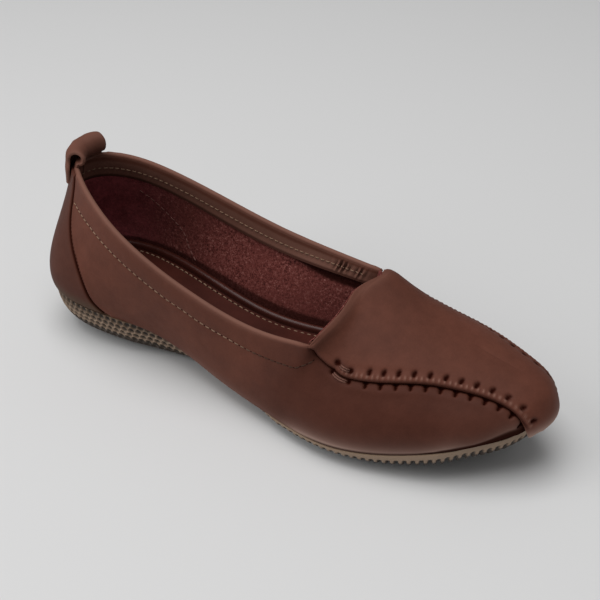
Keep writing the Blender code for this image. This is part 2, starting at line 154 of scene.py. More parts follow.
# Seam of the apron on the outer side: girth, and level on the rib from 0 at the sole to 1 at the top.
APRON_SEAM = (
    # girth, level
    (0.560, 1.000),
    (0.600, 0.690),
    (0.638, 0.464),
    (0.660, 0.392),
    (0.690, 0.377),
    (0.750, 0.416),
    (0.810, 0.462),
    (0.870, 0.453),
    (0.906, 0.400),
    (0.926, 0.324),
    (0.940, 0.204),
    (0.951, 0.030),
)
# The seam on the inner side runs higher, up to the front of the toe.
APRON_SEAM_INNER = (
    # girth, level
    (0.560, 1.000),
    (0.600, 0.780),
    (0.640, 0.664),
    (0.680, 0.630),
    (0.720, 0.635),
    (0.760, 0.608),
    (0.800, 0.530),
    (0.840, 0.468),
    (0.870, 0.448),
    (0.906, 0.400),
    (0.926, 0.324),
    (0.940, 0.204),
    (0.951, 0.030),
)
APRON_FOOT = 0.030

# Seam of the heel counter: level on the rib, girth.
COUNTER_SEAM = (
    # level, girth
    (0.000, 0.222),
    (0.048, 0.210),
    (0.212, 0.184),
    (0.376, 0.162),
    (0.544, 0.128),
    (0.684, 0.099),
    (0.824, 0.080),
    (1.000, 0.062),
)
COUNTER_FOOT = 0.030
COUNTER_TOP = 0.975

# Sole: where its top edge stands, its underside and the rounding of its side.
SOLE_LEDGE = (
    # x by length, how far the top edge stands out past the upper, in mm
    (0.00, 0.4),
    (0.22, 0.4),
    (0.32, -5.0),
    (0.46, -5.0),
    (0.57, 0.2),
    (0.86, 0.4),
    (0.94, -2.5),
    (1.00, -4.0),
)
SOLE_UNDERSIDE = (
    # x by length, height in mm
    (0.000, 7.0),
    (0.090, 0.0),
    (0.265, 0.0),
    (0.400, 3.2),
    (0.535, 0.0),
    (0.750, 0.0),
    (0.850, 4.2),
    (1.000, 19.0),
)
SOLE_TUCK = (
    # x by length, how far the side curves in under the feather line, in mm
    (0.00, 17.0),
    (0.14, 16.0),
    (0.40, 13.0),
    (0.68, 17.0),
    (0.85, 17.0),
    (1.00, 19.0),
)

# Insole, with a bead round its edge.
INSOLE_THICKNESS = 2.5
INSOLE_PLAY = 0.5
BEAD_WIDTH = 4.0
BEAD_HEIGHT = 2.1

# Pull loop: a wide strap up the back of the heel, turned forward over the collar's edge.  Its two edges by
# girth, how straight it turns forward, how much taller it is on the inner side, and its centre line over
# the edge.
LOOP_THICKNESS = 1.4
LOOP_DEPTH = 9.0
LOOP_EDGES = (-0.040, 0.054)
LOOP_STRAIGHT = 0.6
LOOP_TILT = 0.16
LOOP_LINE = (
    # forward, up
    (-2.2, 1.6),
    (-1.7, 4.4),
    (0.0, 7.0),
    (2.8, 8.0),
    (5.2, 6.8),
    (5.8, 4.4),
    (4.6, 2.5),
    (2.6, 1.7),
)

# Upper as dressed: the wall laps under the apron, and the leather rolls over the collar into the facing.
# A pair of girths is a start and the length over which something comes in; the collar's band and the
# stitches' fade are from one place to another.  Three numbers are a height, its centre and its width.
APRON_LAP = 3.0
ROLL_RADIUS = 1.35
COVERED = (0.53, 0.05)
CORNER_ROUNDS = 200
FACING_DEPTH = 12.8
FACING_TUCKED = 0.4
FACING_END = (0.558, 0.022)
FACING_PUFF = 0.25
FACING_STAND = (1.2, 0.47, 0.07)
GATHER_START = (0.465, 0.03)
GATHER_END = (0.52, 0.03)
GATHER_PITCH = 2.6
GATHER_DEPTH = 0.7
MARGIN_WIDTH = 9.0
HEEL_SEAM = 4.0
LINING_THICKNESS = 0.4
LINING_PLAY = 0.05
COLLAR_BAND = (0.085, 0.56)
COLLAR_STITCH_DEPTH = 11.0
STITCH_DROP = 4.5
STITCH_START = 0.088
STITCH_END = 0.612
STITCH_FADE = (112.0, 132.0)
FACING_STITCH_DEPTH = 7.8
FACING_STITCH_END = 0.535

# Relief of the wall: height, its distance from the seam or edge, and its width.  The foot is tucked in by a
# depth over a height, with more of both round the toe.
SEAM_GROOVE = (-0.55, 0.0, 0.9)
SEAM_SWELL = (0.30, 3.6, 1.8)
COUNTER_BED = -0.3
COUNTER_GROOVE = (-0.40, 0.0, 0.5)
COUNTER_SWELL = (0.22, 1.7, 1.1)
STITCH_CHANNEL = (-0.20, COLLAR_STITCH_DEPTH, 0.8)
COLLAR_SWELL = 0.30
FOOT_TUCK = (0.12, 0.9)
TOE_TUCK = (0.33, 1.3)
TOE_ZONE = (0.77, 0.14)

# Dark and light places of the wall, mostly painted shade and painted highlight: share, distance or girth,
# and width.
# The foot of the wall is painted pale, a painted reflection of light from below, over a painted shadow line
# under its edge that widens round the toe, and the fore part above it is darkened, painted shade where it
# faces away from the light.
SEAM_SHADE = (0.9, 0.0, 0.75)
COUNTER_SHADE = (0.75, 0.0, 0.45)
# Lighter leather just below the collar's edge: partly rubbed leather, partly a painted highlight.
COLLAR_RUB_AND_HIGHLIGHT = (0.40, 0.0, 1.6)
BAR_SHADE = 0.6
HOLE_SHADE = 1.3
# Painted shade on the wall's fore part, where it faces away from the light.
FORE_SHADE = 0.46
REFLECTED_BALL = (0.35, 0.66, 0.06)
REFLECTED_HEIGHT = 2.2
REFLECTED_LEAST = 0.15
REFLECTED_STEPS = (
    # girth, length, painted reflection added
    (0.57, 0.06, 0.50),
    (0.83, 0.05, -0.40),
)
SHADOW_LINE_LEAST = 0.7
SHADOW_LINE_STEPS = (
    # girth, length, height of the painted shadow line added
    (0.80, 0.06, 1.2),
    (0.87, 0.06, 2.6),
)

# Apron as dressed: heights over the wall, the rounding of its edge, and its drape by throat and toe.
APRON_FACE = 1.55
APRON_EDGE = 0.30
APRON_UNDER = 0.05
APRON_HOLLOW = 0.5
EDGE_ROUND = 1.7
THROAT_ROUNDS = 150
THROAT_FILL = 0.8
THROAT_FILL_REACH = 5.0
THROAT_BOW = 3.6
THROAT_BOW_AT = (-4.5, 10.5)
THROAT_BOW_REACH = 22.0
TOE_DROP = 3.0
TOE_PUSH = 1.2
TOE_HANG_REACH = 8.0
TOE_CENTRE = (205.0, 0.0)
# Painted reflection along the apron's toe edge, and painted highlight along its throat edge: share,
# distance, width.
TOE_REFLECTED = (0.9, 0.0, 2.0)
THROAT_HIGHLIGHT = (0.16, 0.6, 2.5)

# Counter as dressed.
COUNTER_FACE = 0.95
COUNTER_EDGE = 0.05
COUNTER_UNDER = -0.25
COUNTER_ROUND = 1.5

# Pull loop as dressed: how it rises off the counter, share of its depth and gap, how thick it is on its
# inside, and how its end goes in under the collar's roll.
LOOP_FOOT = (
    # depth, gap
    (1.0, 0.6),
    (0.6, 1.4),
    (0.2, 2.0),
)
LOOP_INSIDE = 1.6
LOOP_END = (
    # forward, up
    (1.6, -0.6),
)

# Hand-sewn seam of the apron, measured along it from the throat corner.
HOLE_FIRST = 29.9
HOLE_PITCH = 5.8
HOLE_COUNT = 12
APRON_HOLES = (
    # along, above the seam, radius
    (0.0, 2.9, 0.80),
    (0.2, 3.6, 0.95),
    (0.6, 4.3, 0.70),
)
WALL_HOLES = (
    # along, below the seam, radius
    (-1.0, -0.8, 0.95),
    (-1.0, -1.7, 0.85),
    (-1.1, -2.4, 0.60),
)
HOLE_DEPTH = 1.1
BAR_PLACES = (14.8, 22.3)
BAR_APRON_GAP = 2.8
BAR_WALL_GAP = 1.5
BAR_INSET = 0.9
STRAND_SHIFT = 0.4
PUCKER_PITCH = 2.1
THREAD_RADIUS = 0.34

# Stitched seam down the lining.
LINING_SEAM = (
    # level, girth
    (0.100, 0.258),
    (0.215, 0.235),
    (0.374, 0.209),
    (0.466, 0.180),
    (0.549, 0.154),
    (0.660, 0.115),
)

# Machine stitches: pitch, length and width.
STITCHES = {
    # row: pitch, length, width
    "collar": (3.1, 1.9, 0.50),
    "collar_gap_shadow": (3.1, 0.8, 0.50),
    "facing": (2.7, 1.7, 0.50),
    "insole": (3.2, 1.9, 0.60),
    "insole_gap_shadow": (3.2, 1.0, 0.60),
    "lining": (3.2, 2.1, 0.50),
}

# Soft troughs and ridges in the leather: centre on the upper, half length and half width, depth, turn.
CREASES = (
    # girth, level, long, wide, depth, turn
    (-0.34, 0.50, 16.0, 3.6, -0.35, 64.0),
    (-0.29, 0.36, 14.0, 3.2, 0.30, 58.0),
    (-0.47, 0.30, 18.0, 4.0, -0.35, 20.0),
    (-0.62, 0.22, 13.0, 3.0, -0.30, -25.0),
    (-0.15, 0.60, 12.0, 2.8, -0.25, 80.0),
    (0.36, 0.45, 16.0, 3.6, -0.35, 70.0),
    (0.47, 0.34, 18.0, 4.0, -0.40, 15.0),
    (0.15, 0.58, 12.0, 2.8, -0.25, 84.0),
    (0.64, 0.20, 14.0, 3.2, -0.30, 30.0),
)

# Tread: a honeycomb of pits round the heel, notches round the forefoot, studs under both.  The rubber is
# painted darker towards the floor and in its pits, painted shade.  Pits and shade start higher where the
# forefoot is still narrow.
PIT_PITCH = 3.4
PIT_ROW = 2.95
PIT_RADIUS = 1.30
PIT_DEPTH = 1.1
PIT_START_HEEL = 1.5
PIT_START_TOE = 3.7
PIT_START_NARROW = 2.0
NOTCH_RADIUS = 0.85
SHADE_HEEL = 10.0
SHADE_TOE = 4.6
SHADE_NARROW = 2.6
FORE_ZONE = (0.35, 0.2)
BALL_ZONE = (0.62, 0.16)
TOE_APART = 2.2
TOE_APART_ZONE = (0.86, 0.08)
STUD_PITCH = 3.3
STUD_HEIGHT = 0.8
STUD_RADIUS = 1.1

# Fineness of the meshes: ends of the zones and steps of girth, and the step along lines in mm.
HEEL_ZONE = 0.24
VAMP_ZONE = 0.53
HEEL_STEP = 0.002
QUARTER_STEP = 0.004
VAMP_STEP = 0.0018
SOLE_STEP = 0.0015
LINE_STEP = 0.2

# Camera at the photo's place, turned to the one shoe: place in mm, angles in degrees, and a focal length
# that frames it, for a picture of 600 pixels.
CAMERA_PLACE = (201.0, -308.05, 288.8)
CAMERA_AZIMUTH = 31.63
CAMERA_ELEVATION = 34.13
CAMERA_ROLL = -0.90
FOCAL_PIXELS = 1041.0
FRAME_PIXELS = 600.0
SENSOR_WIDTH = 36.0

# Colours of the materials and the studio.
LEATHER = (0.110, 0.036, 0.0225)
# Lighter leather of edges, puckers, the facing and the loop: mostly painted highlight and painted light,
# partly rubbed leather below the collar.
LEATHER_EDGE = (0.230, 0.115, 0.085)
# Pale at the foot of the wall and along the apron's toe edge: painted reflection of light from below.
LEATHER_REFLECTED = (0.460, 0.310, 0.255)
# Dark that seams, holes, gathers, the counter and the fore side turn towards: mostly painted shade, with
# some dark seam lines.
LEATHER_DARK = (0.018, 0.0035, 0.0022)
# Tan that the counter turns towards near its foot.
LEATHER_FOOT_TAN = (0.105, 0.062, 0.036)
SUEDE = (0.150, 0.040, 0.034)
SUEDE_FLECK = (0.400, 0.200, 0.170)
# Suede round the heel: a smoother nap, and painted light for the shade it lies in.
SUEDE_BACK_LIGHTENED = (0.300, 0.068, 0.078)
FOOTBED = (0.052, 0.013, 0.009)
RUBBER = (0.160, 0.100, 0.060)
RUBBER_PALE = (0.300, 0.205, 0.138)
# Dark of the pits and of the rubber towards the floor: painted shade.
RUBBER_DARK = (0.022, 0.014, 0.009)
THREAD = (0.26, 0.17, 0.115)
FACING_THREAD = (0.25, 0.155, 0.105)
LINING_THREAD = (0.22, 0.10, 0.085)
HAND_THREAD = (0.150, 0.070, 0.052)
# Painted shade: dark dots in the gaps between stitches.
STITCH_GAP_SHADOW = (0.020, 0.006, 0.004)
FLOOR = (0.66, 0.66, 0.66)
FLOOR_HALF = 4.0
SKY = (1.0, 1.0, 1.0)
SKY_STRENGTH = 0.25
LIGHTS = (
    # name, place in metres, size in metres, power in watts
    ("overhead", (-0.10, -0.15, 1.50), 1.2, 16.5),
    ("left_fill", (-1.10, -1.00, 0.95), 1.2, 10.5),
)


def cubic_through(places, values, closed=False):
    """Smooth cubic through the rows of values; a closed one repeats its first row at the end."""
    places = np.asarray(places, float)
    values = np.asarray(values, float).reshape(len(places), -1)
    count = len(places) - 1
    step = np.diff(places)
    slope = np.diff(values, axis=0) / step[:, None]
    size = count if closed else count + 1
    matrix = np.zeros((size, size))
    target = np.zeros((size, values.shape[1]))
    for row in range(0 if closed else 1, count):
        back = (row - 1) % count
        matrix[row, back % size] += step[back]
        matrix[row, row] += 2.0 * (step[back] + step[row])
        matrix[row, (row + 1) % size] += step[row]
        target[row] = 6.0 * (slope[row] - slope[back])
    if not closed:
        matrix[0, 0] = 1.0
        matrix[count, count] = 1.0
    bend = np.linalg.solve(matrix, target)
    if closed:
        bend = np.vstack([bend, bend[:1]])

    def at(place):
        place = np.asarray(place, float)
        flat = place.ravel()
        if closed:
            flat = places[0] + np.mod(flat - places[0], places[-1] - places[0])
        left = np.clip(np.searchsorted(places, flat, side="right") - 1, 0, count - 1)
        wide = step[left][:, None]
        after = (places[left + 1] - flat)[:, None]
        before = (flat - places[left])[:, None]
        curve = (bend[left] * after**3 + bend[left + 1] * before**3) / (6.0 * wide)
        line = (values[left] / wide - bend[left] * wide / 6.0) * after
        line += (values[left + 1] / wide - bend[left + 1] * wide / 6.0) * before
        return (curve + line).reshape(place.shape + (values.shape[1],))

    return at


def through(table, *scales):
    """Smooth cubic through a table's rows, by its first column; each column may be scaled."""
    rows = np.array(table) * (scales or 1.0)
    return cubic_through(rows[:, 0], rows[:, 1:])


def unit(vectors):
    return vectors / (np.linalg.norm(vectors, axis=-1, keepdims=True) + 1e-12)


def ease(value):
    value = np.clip(value, 0.0, 1.0)
    return value * value * (3.0 - 2.0 * value)


def past(value, start, length):
    """0 up to the start, easing to 1 over the length after it."""
    return ease((value - start) / length)


def hump(value, centre, width):
    return np.exp(-(((value - centre) / width) ** 2))


def swell(gap, height, centre, width):
    return height * hump(gap, centre, width)


def stepped(value, least, steps):
    """A least value, with more added past each step."""
    return least + sum(more * past(value, start, length) for start, length, more in steps)


def along(points):
    """Length along a line at each of its points."""
    return np.concatenate([[0.0], np.cumsum(np.linalg.norm(np.diff(points, axis=0), axis=1))])


def both_sides(places):
    """Girths from the toe tip by the inner side, round the heel, to the toe tip by the outer side."""
    return np.concatenate([places[::-1], -places[1:]])


def level(points):
    """Plan points as points in space at height 0."""
    return np.concatenate([points, np.zeros(points.shape[:-1] + (1,))], -1)


def outline_by_girth():
    """Dense plan of the feather line: girth and points for the outer and the inner side."""
    outer = [(x * LENGTH, -half * BALL_WIDTH) for _, x, half, _ in FEATHER]
    inner = [(x * LENGTH, half * BALL_WIDTH) for _, x, _, half in FEATHER[1:-1]]
    loop = np.array(outer + inner[::-1] + outer[:1])
    reach = np.concatenate([[0.0], np.cumsum(np.sqrt(np.linalg.norm(np.diff(loop, axis=0), axis=1)))])
    curve = cubic_through(reach, loop, closed=True)
    sides = []
    for first, last in ((0.0, reach[len(FEATHER) - 1]), (reach[-1], reach[len(FEATHER) - 1])):
        points = curve(np.linspace(first, last - 1e-9, 2000))
        run = along(points)
        sides.append((run / run[-1], points))
    return sides


OUTER_SIDE, INNER_SIDE = outline_by_girth()
feather_height = through(FEATHER_HEIGHT, LENGTH, HEEL_RISE)
collar_edge = through(COLLAR, 1.0, LENGTH, BALL_WIDTH, COLLAR_HEIGHT)
ridge_height = through(RIDGE, LENGTH, INSTEP_HEIGHT)
wall_shape = through(WALLS)
outer_seam = through(APRON_SEAM)
inner_seam = through(APRON_SEAM_INNER)
counter_seam = through(COUNTER_SEAM)
lining_seam = through(LINING_SEAM)


def plan(girth):
    """Feather line in plan."""
    girth = np.asarray(girth, float)
    outer = [np.interp(-girth, OUTER_SIDE[0], OUTER_SIDE[1][:, axis]) for axis in (0, 1)]
    inner = [np.interp(girth, INNER_SIDE[0], INNER_SIDE[1][:, axis]) for axis in (0, 1)]
    return np.where((girth < 0.0)[..., None], np.stack(outer, -1), np.stack(inner, -1))


def outward(girth):
    """Unit plan direction away from the foot, across the feather line."""
    girth = np.asarray(girth, float)
    small = 0.004
    tip = np.abs(girth) > 1.0 - small
    inside = np.where(tip, np.sign(girth) * (1.0 - small), girth)
    forward = plan(inside + small) - plan(inside - small)
    across = unit(np.stack([forward[..., 1], -forward[..., 0]], -1))
    middle = np.array([0.5 * LENGTH, 0.0])
    across *= np.sign(((plan(inside) - middle) * across).sum(-1, keepdims=True))
    return np.where((np.abs(girth) >= 1.0)[..., None], np.array([1.0, 0.0]), across)


def feather(girth):
    points = plan(girth)
    return np.concatenate([points, feather_height(points[..., 0])], -1)


def crest(girth):
    """Top of each rib: the collar edge, then the throat edge, then the ridge to the toe."""
    girth = np.asarray(girth, float)
    size = np.abs(girth)
    collar = collar_edge(np.clip(girth / CORNER, -1.0, 1.0))
    corner = collar_edge(np.where(girth < 0.0, -1.0, 1.0))
    top_x = THROAT_X * LENGTH
    top_y = THROAT_Y * BALL_WIDTH
    top_z = float(ridge_height(top_x)[..., 0])
    turn = 0.5 * math.pi * np.clip((size - CORNER) / (THROAT_TOP - CORNER), 0.0, 1.0)
    bow = np.where(girth < 0.0, THROAT_BOW_OUTER, THROAT_BOW_INNER)
    aside = np.cos(turn) ** bow
    rise = np.sin(turn) ** bow
    throat = np.stack([corner[..., 0] + (top_x - corner[..., 0]) * (0.6 * rise + 0.4 * (1.0 - aside)),
                       top_y + (corner[..., 1] - top_y) * aside,
                       corner[..., 2] + (top_z - corner[..., 2]) * rise], -1)
    run = np.clip((size - THROAT_TOP) / (1.0 - THROAT_TOP), 0.0, 1.0)
    ridge_x = top_x + (RIDGE_FRONT_X * LENGTH - top_x) * run
    ridge_y = top_y + (RIDGE_FRONT_Y * BALL_WIDTH - top_y) * run
    ridge = np.stack([ridge_x, ridge_y, ridge_height(ridge_x)[..., 0]], -1)
    front = np.where((size <= THROAT_TOP)[..., None], throat, ridge)
    return np.where((size <= CORNER)[..., None], collar, front)


def skin(girth, height):
    """Outer face of the upper: a cubic rib at each girth, from the sole at 0 to its top at 1."""
    girth, height = np.broadcast_arrays(np.asarray(girth, float), np.asarray(height, float))
    size = np.abs(girth)
    foot = feather(girth)
    top = crest(girth)
    away = level(outward(girth))
    flare, low, lean, high = np.moveaxis(wall_shape(size), -1, 0)
    slack = past(size, CORNER, THROAT_TOP - CORNER)
    slack *= 1.0 - past(size, THROAT_TOP, SLACK_END - THROAT_TOP)
    low = low * (1.0 - INNER_SLACK * np.where(girth > 0.0, slack, 0.0))
    flare = np.radians(flare)[..., None]
    lean = np.radians(lean)[..., None]
    chord = np.linalg.norm(top - foot, axis=-1)
    rise = foot + (low * chord)[..., None] * (away * np.sin(flare) + UP * np.cos(flare))
    drop = ridge_height(top[..., 0] + 1.0)[..., 0] - ridge_height(top[..., 0] - 1.0)[..., 0]
    back = unit(np.stack([-np.ones_like(drop), np.zeros_like(drop), -0.5 * drop], -1))
    fan = 0.5 * math.pi * np.clip((size - THROAT_TOP) / (1.0 - THROAT_TOP), 0.0, 1.0) ** FAN
    over = np.stack([np.zeros_like(size), np.where(girth < 0.0, 1.0, -1.0), np.zeros_like(size)], -1)
    vamp_end = over * np.cos(fan)[..., None] + back * np.sin(fan)[..., None]
    collar_end = UP * np.cos(lean) - away * np.sin(lean)
    share = past(size, CORNER, THROAT_TOP - CORNER)[..., None]
    end = unit(collar_end * (1.0 - share) + vamp_end * share)
    fall = top - (high * chord)[..., None] * end
    height = height[..., None]
    rest = 1.0 - height
    return foot * rest**3 + 3.0 * rise * height * rest**2 + 3.0 * fall * height**2 * rest + top * height**3


def along_table(table, x):
    return np.interp(x, [row[0] * LENGTH for row in table], [row[1] for row in table])


def underside(x):
    """Height of the sole's underside: flat under heel and ball, easing into the arch and toe spring."""
    places = np.array([row[0] * LENGTH for row in SOLE_UNDERSIDE])
    heights = np.array([row[1] for row in SOLE_UNDERSIDE])
    x = np.clip(np.asarray(x, float), places[0], places[-1])
    left = np.clip(np.searchsorted(places, x, side="right") - 1, 0, len(places) - 2)
    share = (x - places[left]) / (places[left + 1] - places[left])
    start, stop = heights[left], heights[left + 1]
    smooth = np.where((start == 0.0) | (stop == 0.0), ease(share), share)
    sharp_rise = np.where(start == 0.0, share**1.6, smooth)
    return start + (stop - start) * np.where(left >= len(places) - 3, sharp_rise, smooth)


def skin_normal(girth, height):
    """Unit normal of the upper's outer face, away from the foot."""
    inside = np.clip(girth, -0.996, 0.996)
    inner = np.clip(height, 0.012, 0.985)
    backward = skin(inside - 0.003, inner) - skin(inside + 0.003, inner)
    rise = skin(inside, inner + 0.01) - skin(inside, inner - 0.01)
    return unit(np.cross(backward, rise))


def rib_chord(girth):
    return np.linalg.norm(crest(girth) - feather(girth), axis=-1)


def seam_level(girth):
    """Level of the apron's seam at a girth; past the seam's end the apron reaches the sole."""
    size = np.abs(girth)
    seam = np.where(np.asarray(girth) < 0.0, outer_seam(size)[..., 0], inner_seam(size)[..., 0])
    return np.where(size > APRON_SEAM[-1][0], APRON_FOOT, np.clip(seam, APRON_FOOT, 1.0))


def grid(rows, columns, ring=False, closed=False):
    """Faces of a grid of points; a ring joins last column and first, closed joins last row and first."""
    row = np.arange(rows if closed else rows - 1)[:, None]
    column = np.arange(columns if ring else columns - 1)[None, :]
    upper_row = row * columns
    lower_row = (row + 1) % rows * columns
    beside = (column + 1) % columns
    corners = (upper_row + column, lower_row + column, lower_row + beside, upper_row + beside)
    return np.stack(np.broadcast_arrays(*corners), -1).reshape(-1, 4)


def weld(points, faces):
    """Join points that lie at one place; also gives which of the given points were kept."""
    _, kept, index = np.unique(np.round(points, 3), axis=0, return_index=True, return_inverse=True)
    return points[kept], index.ravel()[faces], kept


def normals_of(points, faces):
    first, second, third, fourth = (points[faces[:, corner]] for corner in range(4))
    across = np.cross(third - first, fourth - second)
    total = np.zeros_like(points)
    for corner in range(4):
        np.add.at(total, faces[:, corner], across)
    return unit(total)


def edges_of(faces):
    """Edges of all faces as pairs of points, without those of no length."""
    edges = np.concatenate([faces[:, pair] for pair in ((0, 1), (1, 2), (2, 3), (3, 0))])
    return edges[edges[:, 0] != edges[:, 1]]


def relaxed(points, faces, share, rounds):
    """Points eased towards the middle of their neighbours, each by its own share, many times over."""
    pairs = np.unique(np.sort(edges_of(faces), axis=1), axis=0)
    first, second = pairs.T
    size = len(points)
    count = np.bincount(pairs.ravel(), minlength=size)[:, None]
    for _ in range(rounds):
        total = np.stack([np.bincount(first, points[second, axis], size)
                          + np.bincount(second, points[first, axis], size) for axis in range(3)], -1)
        points = points + share[:, None] * (total / count - points)
    return points


def thick_sheet(points, faces, low, high):
    """Closed solid between two offsets of a sheet, each one number or one for each point."""
    normals = normals_of(points, faces)
    inside = points + normals * np.reshape(low, (-1, 1))
    outside = points + normals * np.reshape(high, (-1, 1))
    edges = edges_of(faces)
    _, index, count = np.unique(np.sort(edges, axis=1), axis=0, return_inverse=True, return_counts=True)
    rim = edges[count[index.ravel()] == 1]
    size = len(points)
    walls = np.stack([rim[:, 0], rim[:, 1], rim[:, 1] + size, rim[:, 0] + size], 1)
    return np.vstack([inside, outside]), np.concatenate([faces + size, faces[:, ::-1], walls])


def ladder(sections):
    """Sheet from one open profile at each girth; both profile ends run on to a spine down the middle."""
    mirrored = sections[::-1]
    spine_first = 0.5 * (sections[:, :1] + mirrored[:, :1])
    spine_last = 0.5 * (sections[:, -1:] + mirrored[:, -1:])
    whole = np.concatenate([spine_first, sections, spine_last], axis=1)
    return whole.reshape(-1, 3), grid(*whole.shape[:2])


def line_at(points, places, rows=None):
    """Points of a line at lengths along it, or other rows given at the same points."""
    run = along(points)
    rows = points if rows is None else rows
    return np.stack([np.interp(places, run, rows[:, axis]) for axis in range(rows.shape[1])], -1)


def even_line(points, step=LINE_STEP):
    run = along(points)[-1]
    return line_at(points, np.linspace(0.0, run, max(2, int(round(run / step)) + 1)))


def nearest(points, line):
    """Distance from each point to a line's nearest point, and that point's number."""
    tree = KDTree(len(line))
    for number, point in enumerate(line):
        tree.insert(point, number)
    tree.balance()
    found = [tree.find(point)[1:] for point in points]
    return np.array([gap for _, gap in found]), np.array([number for number, _ in found])


def near_spots(points, spots, radius):
    """1 at each spot, falling to 0 away from it."""
    return hump(nearest(points, spots)[0], 0.0, radius)


def rounded(gap, radius):
    """0 at an edge, rising in a quarter round to 1 at the radius."""
    return np.sqrt(1.0 - (1.0 - np.clip(gap / radius, 0.0, 1.0)) ** 2)


def joined(parts):
    """Parts, each of points and faces, as one mesh."""
    points, faces = zip(*parts)
    starts = np.cumsum([0, *map(len, points)])
    return np.vstack(points), np.vstack([part + start for part, start in zip(faces, starts)])


def circle(sides):
    return np.linspace(0.0, 2.0 * math.pi, sides, endpoint=False)


def around(first, second, turn):
    """Directions at each turn from the first towards the second."""
    return first[:, None] * np.cos(turn)[:, None] + second[:, None] * np.sin(turn)[:, None]


def tubes(paths, radius, sides=7):
    """Round threads along paths, joined into one mesh."""
    parts = []
    for path in paths:
        direction = unit(np.gradient(path, axis=0))
        side = unit(np.cross(direction, UP + 0.01))
        body = path[:, None] + radius * around(side, np.cross(side, direction), circle(sides))
        first, last = (np.repeat(path[end, None, None], sides, 1) for end in (0, -1))
        whole = np.concatenate([first, body, last])
        parts.append((whole.reshape(-1, 3), grid(len(whole), sides, ring=True)))
    return joined(parts)


def stitch_row(line, normals, row, lift=0.12, start=0.5):
    """Short sewn stitches along a line, each sinking into the material at its ends."""
    pitch, length, width = STITCHES[row]
    centres = np.arange(start * pitch, along(line)[-1], pitch)
    paths = []
    for centre in centres:
        places = centre + length * np.linspace(-0.5, 0.5, 7)
        path = line_at(line, places)
        normal = unit(line_at(line, places, normals))
        rise = lift - 0.55 * width * np.abs(np.linspace(-1.0, 1.0, 7)) ** 3
        paths.append(path + normal * rise[:, None])
    return tubes(paths, 0.5 * width)


def add_piece(name, points, faces, finish, replaces=(), fields=None, sharp=40.0):
    """Mesh piece in the shoe's frame, riding on its one body; fields are values kept at the points."""
    mesh = bpy.data.meshes.new(name)
    twins = (faces == np.roll(faces, 1, axis=1)).any(axis=1)
    corners = faces[~twins].tolist()
    for face in faces[twins].tolist():
        single = list(dict.fromkeys(face))
        if len(single) == 3:
            corners.append(single)
    mesh.from_pydata(((points - ORIGIN) * MM).tolist(), [], corners)
    mesh.update()
    mesh.shade_smooth()
    mesh.set_sharp_from_angle(angle=math.radians(sharp))
    for label, values in (fields or {}).items():
        stored = mesh.attributes.new(label, "FLOAT", "POINT")
        stored.data.foreach_set("value", np.asarray(values, np.float32))
    mesh.materials.append(finish)
    piece = bpy.data.objects.new(name, mesh)
    bpy.context.scene.collection.objects.link(piece)
    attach(piece, BODY)
    if replaces:
        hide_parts(*replaces)
    return piece


def girths(step_heel, step_quarter, step_vamp):
    """Girths of one side from the heel to the toe tip, in three zones of fineness."""
    heel = np.arange(0.0, HEEL_ZONE, step_heel)
    quarter = np.arange(HEEL_ZONE, VAMP_ZONE, step_quarter)
    vamp = np.arange(VAMP_ZONE, 1.0, step_vamp)
    return np.concatenate([heel, quarter, vamp, [1.0]])


def seam_girths(side):
    return side * np.linspace(CORNER, APRON_SEAM[-1][0], 900)


def seam_line(side):
    girth = seam_girths(side)
    return even_line(skin(girth, seam_level(girth)))


def counter_line(side):
    height = np.linspace(0.0, 1.0, 400)
    return even_line(skin(side * counter_seam(height)[..., 0], height))


def both_lines(line):
    """Points of a line on the outer side, then on the inner one."""
    return np.vstack([line(-1), line(1)])


def throat_line():
    girth = np.linspace(CORNER, THROAT_TOP, 200)
    return even_line(np.concatenate([crest(-girth), crest(girth)[::-1]]))


def toe_edge():
    """Lower edge of the apron, round the toe between the ends of its seams."""
    past_seam = np.concatenate([np.arange(APRON_SEAM[-1][0], 1.0, 0.002), [1.0]])
    return np.concatenate([skin(-past_seam, APRON_FOOT), skin(past_seam, APRON_FOOT)[::-1]])


def beside_seam(side, places, gap):
    """Points on the upper beside the apron's seam, above it for a positive gap, with their normals."""
    line = seam_line(side)
    spots = line_at(line, places)
    direction = unit(line_at(line, places + 0.8) - line_at(line, places - 0.8))
    girth = seam_girths(side)
    surface = skin(girth, seam_level(girth))
    normal = unit(line_at(surface, places, skin_normal(girth, seam_level(girth))))
    above = unit(np.cross(normal, direction)) * -side
    return spots + above * gap, normal


def beside_seams(places, gap):
    """Points beside the seams of both sides."""
    return np.vstack([beside_seam(side, places, gap)[0] for side in (-1, 1)])


def sink_holes(points, table):
    """1 in the holes of the hand seam on both sides, falling to 0 round them."""
    places = HOLE_FIRST + HOLE_PITCH * np.arange(HOLE_COUNT)
    sunk = np.zeros(len(points))
    for shift, gap, radius in table:
        sunk = np.maximum(sunk, near_spots(points, beside_seams(places + shift, gap), radius))
    return sunk


def bar_ends(gap):
    """Ends of the sewn bars on both sides, at a gap from the seam."""
    return beside_seams(np.array(BAR_PLACES), gap)


def bar_line(gap):
    """Points along the sewn bars on both sides, at a gap from the seam."""
    return beside_seams(np.linspace(*BAR_PLACES, 25), gap)


def half_girth():
    """Length of the feather line from the heel to the toe tip."""
    return along(feather(np.linspace(0.0, 1.0, 200)))[-1]


def creases(girth, height, chord):
    """Lift of the leather by its creases."""
    lift = np.zeros(np.broadcast(girth, height).shape)
    half_round = half_girth()
    for place, level_at, long, wide, depth, turn in CREASES:
        forward = (girth - place) * half_round * math.copysign(1.0, place)
        rise = (height - level_at) * chord
        cosine = math.cos(math.radians(turn))
        sine = math.sin(math.radians(turn))
        lengthwise = (forward * cosine + rise * sine) / long
        crosswise = (rise * cosine - forward * sine) / wide
        lift += depth * np.exp(-(lengthwise**2) - crosswise**2)
    return lift


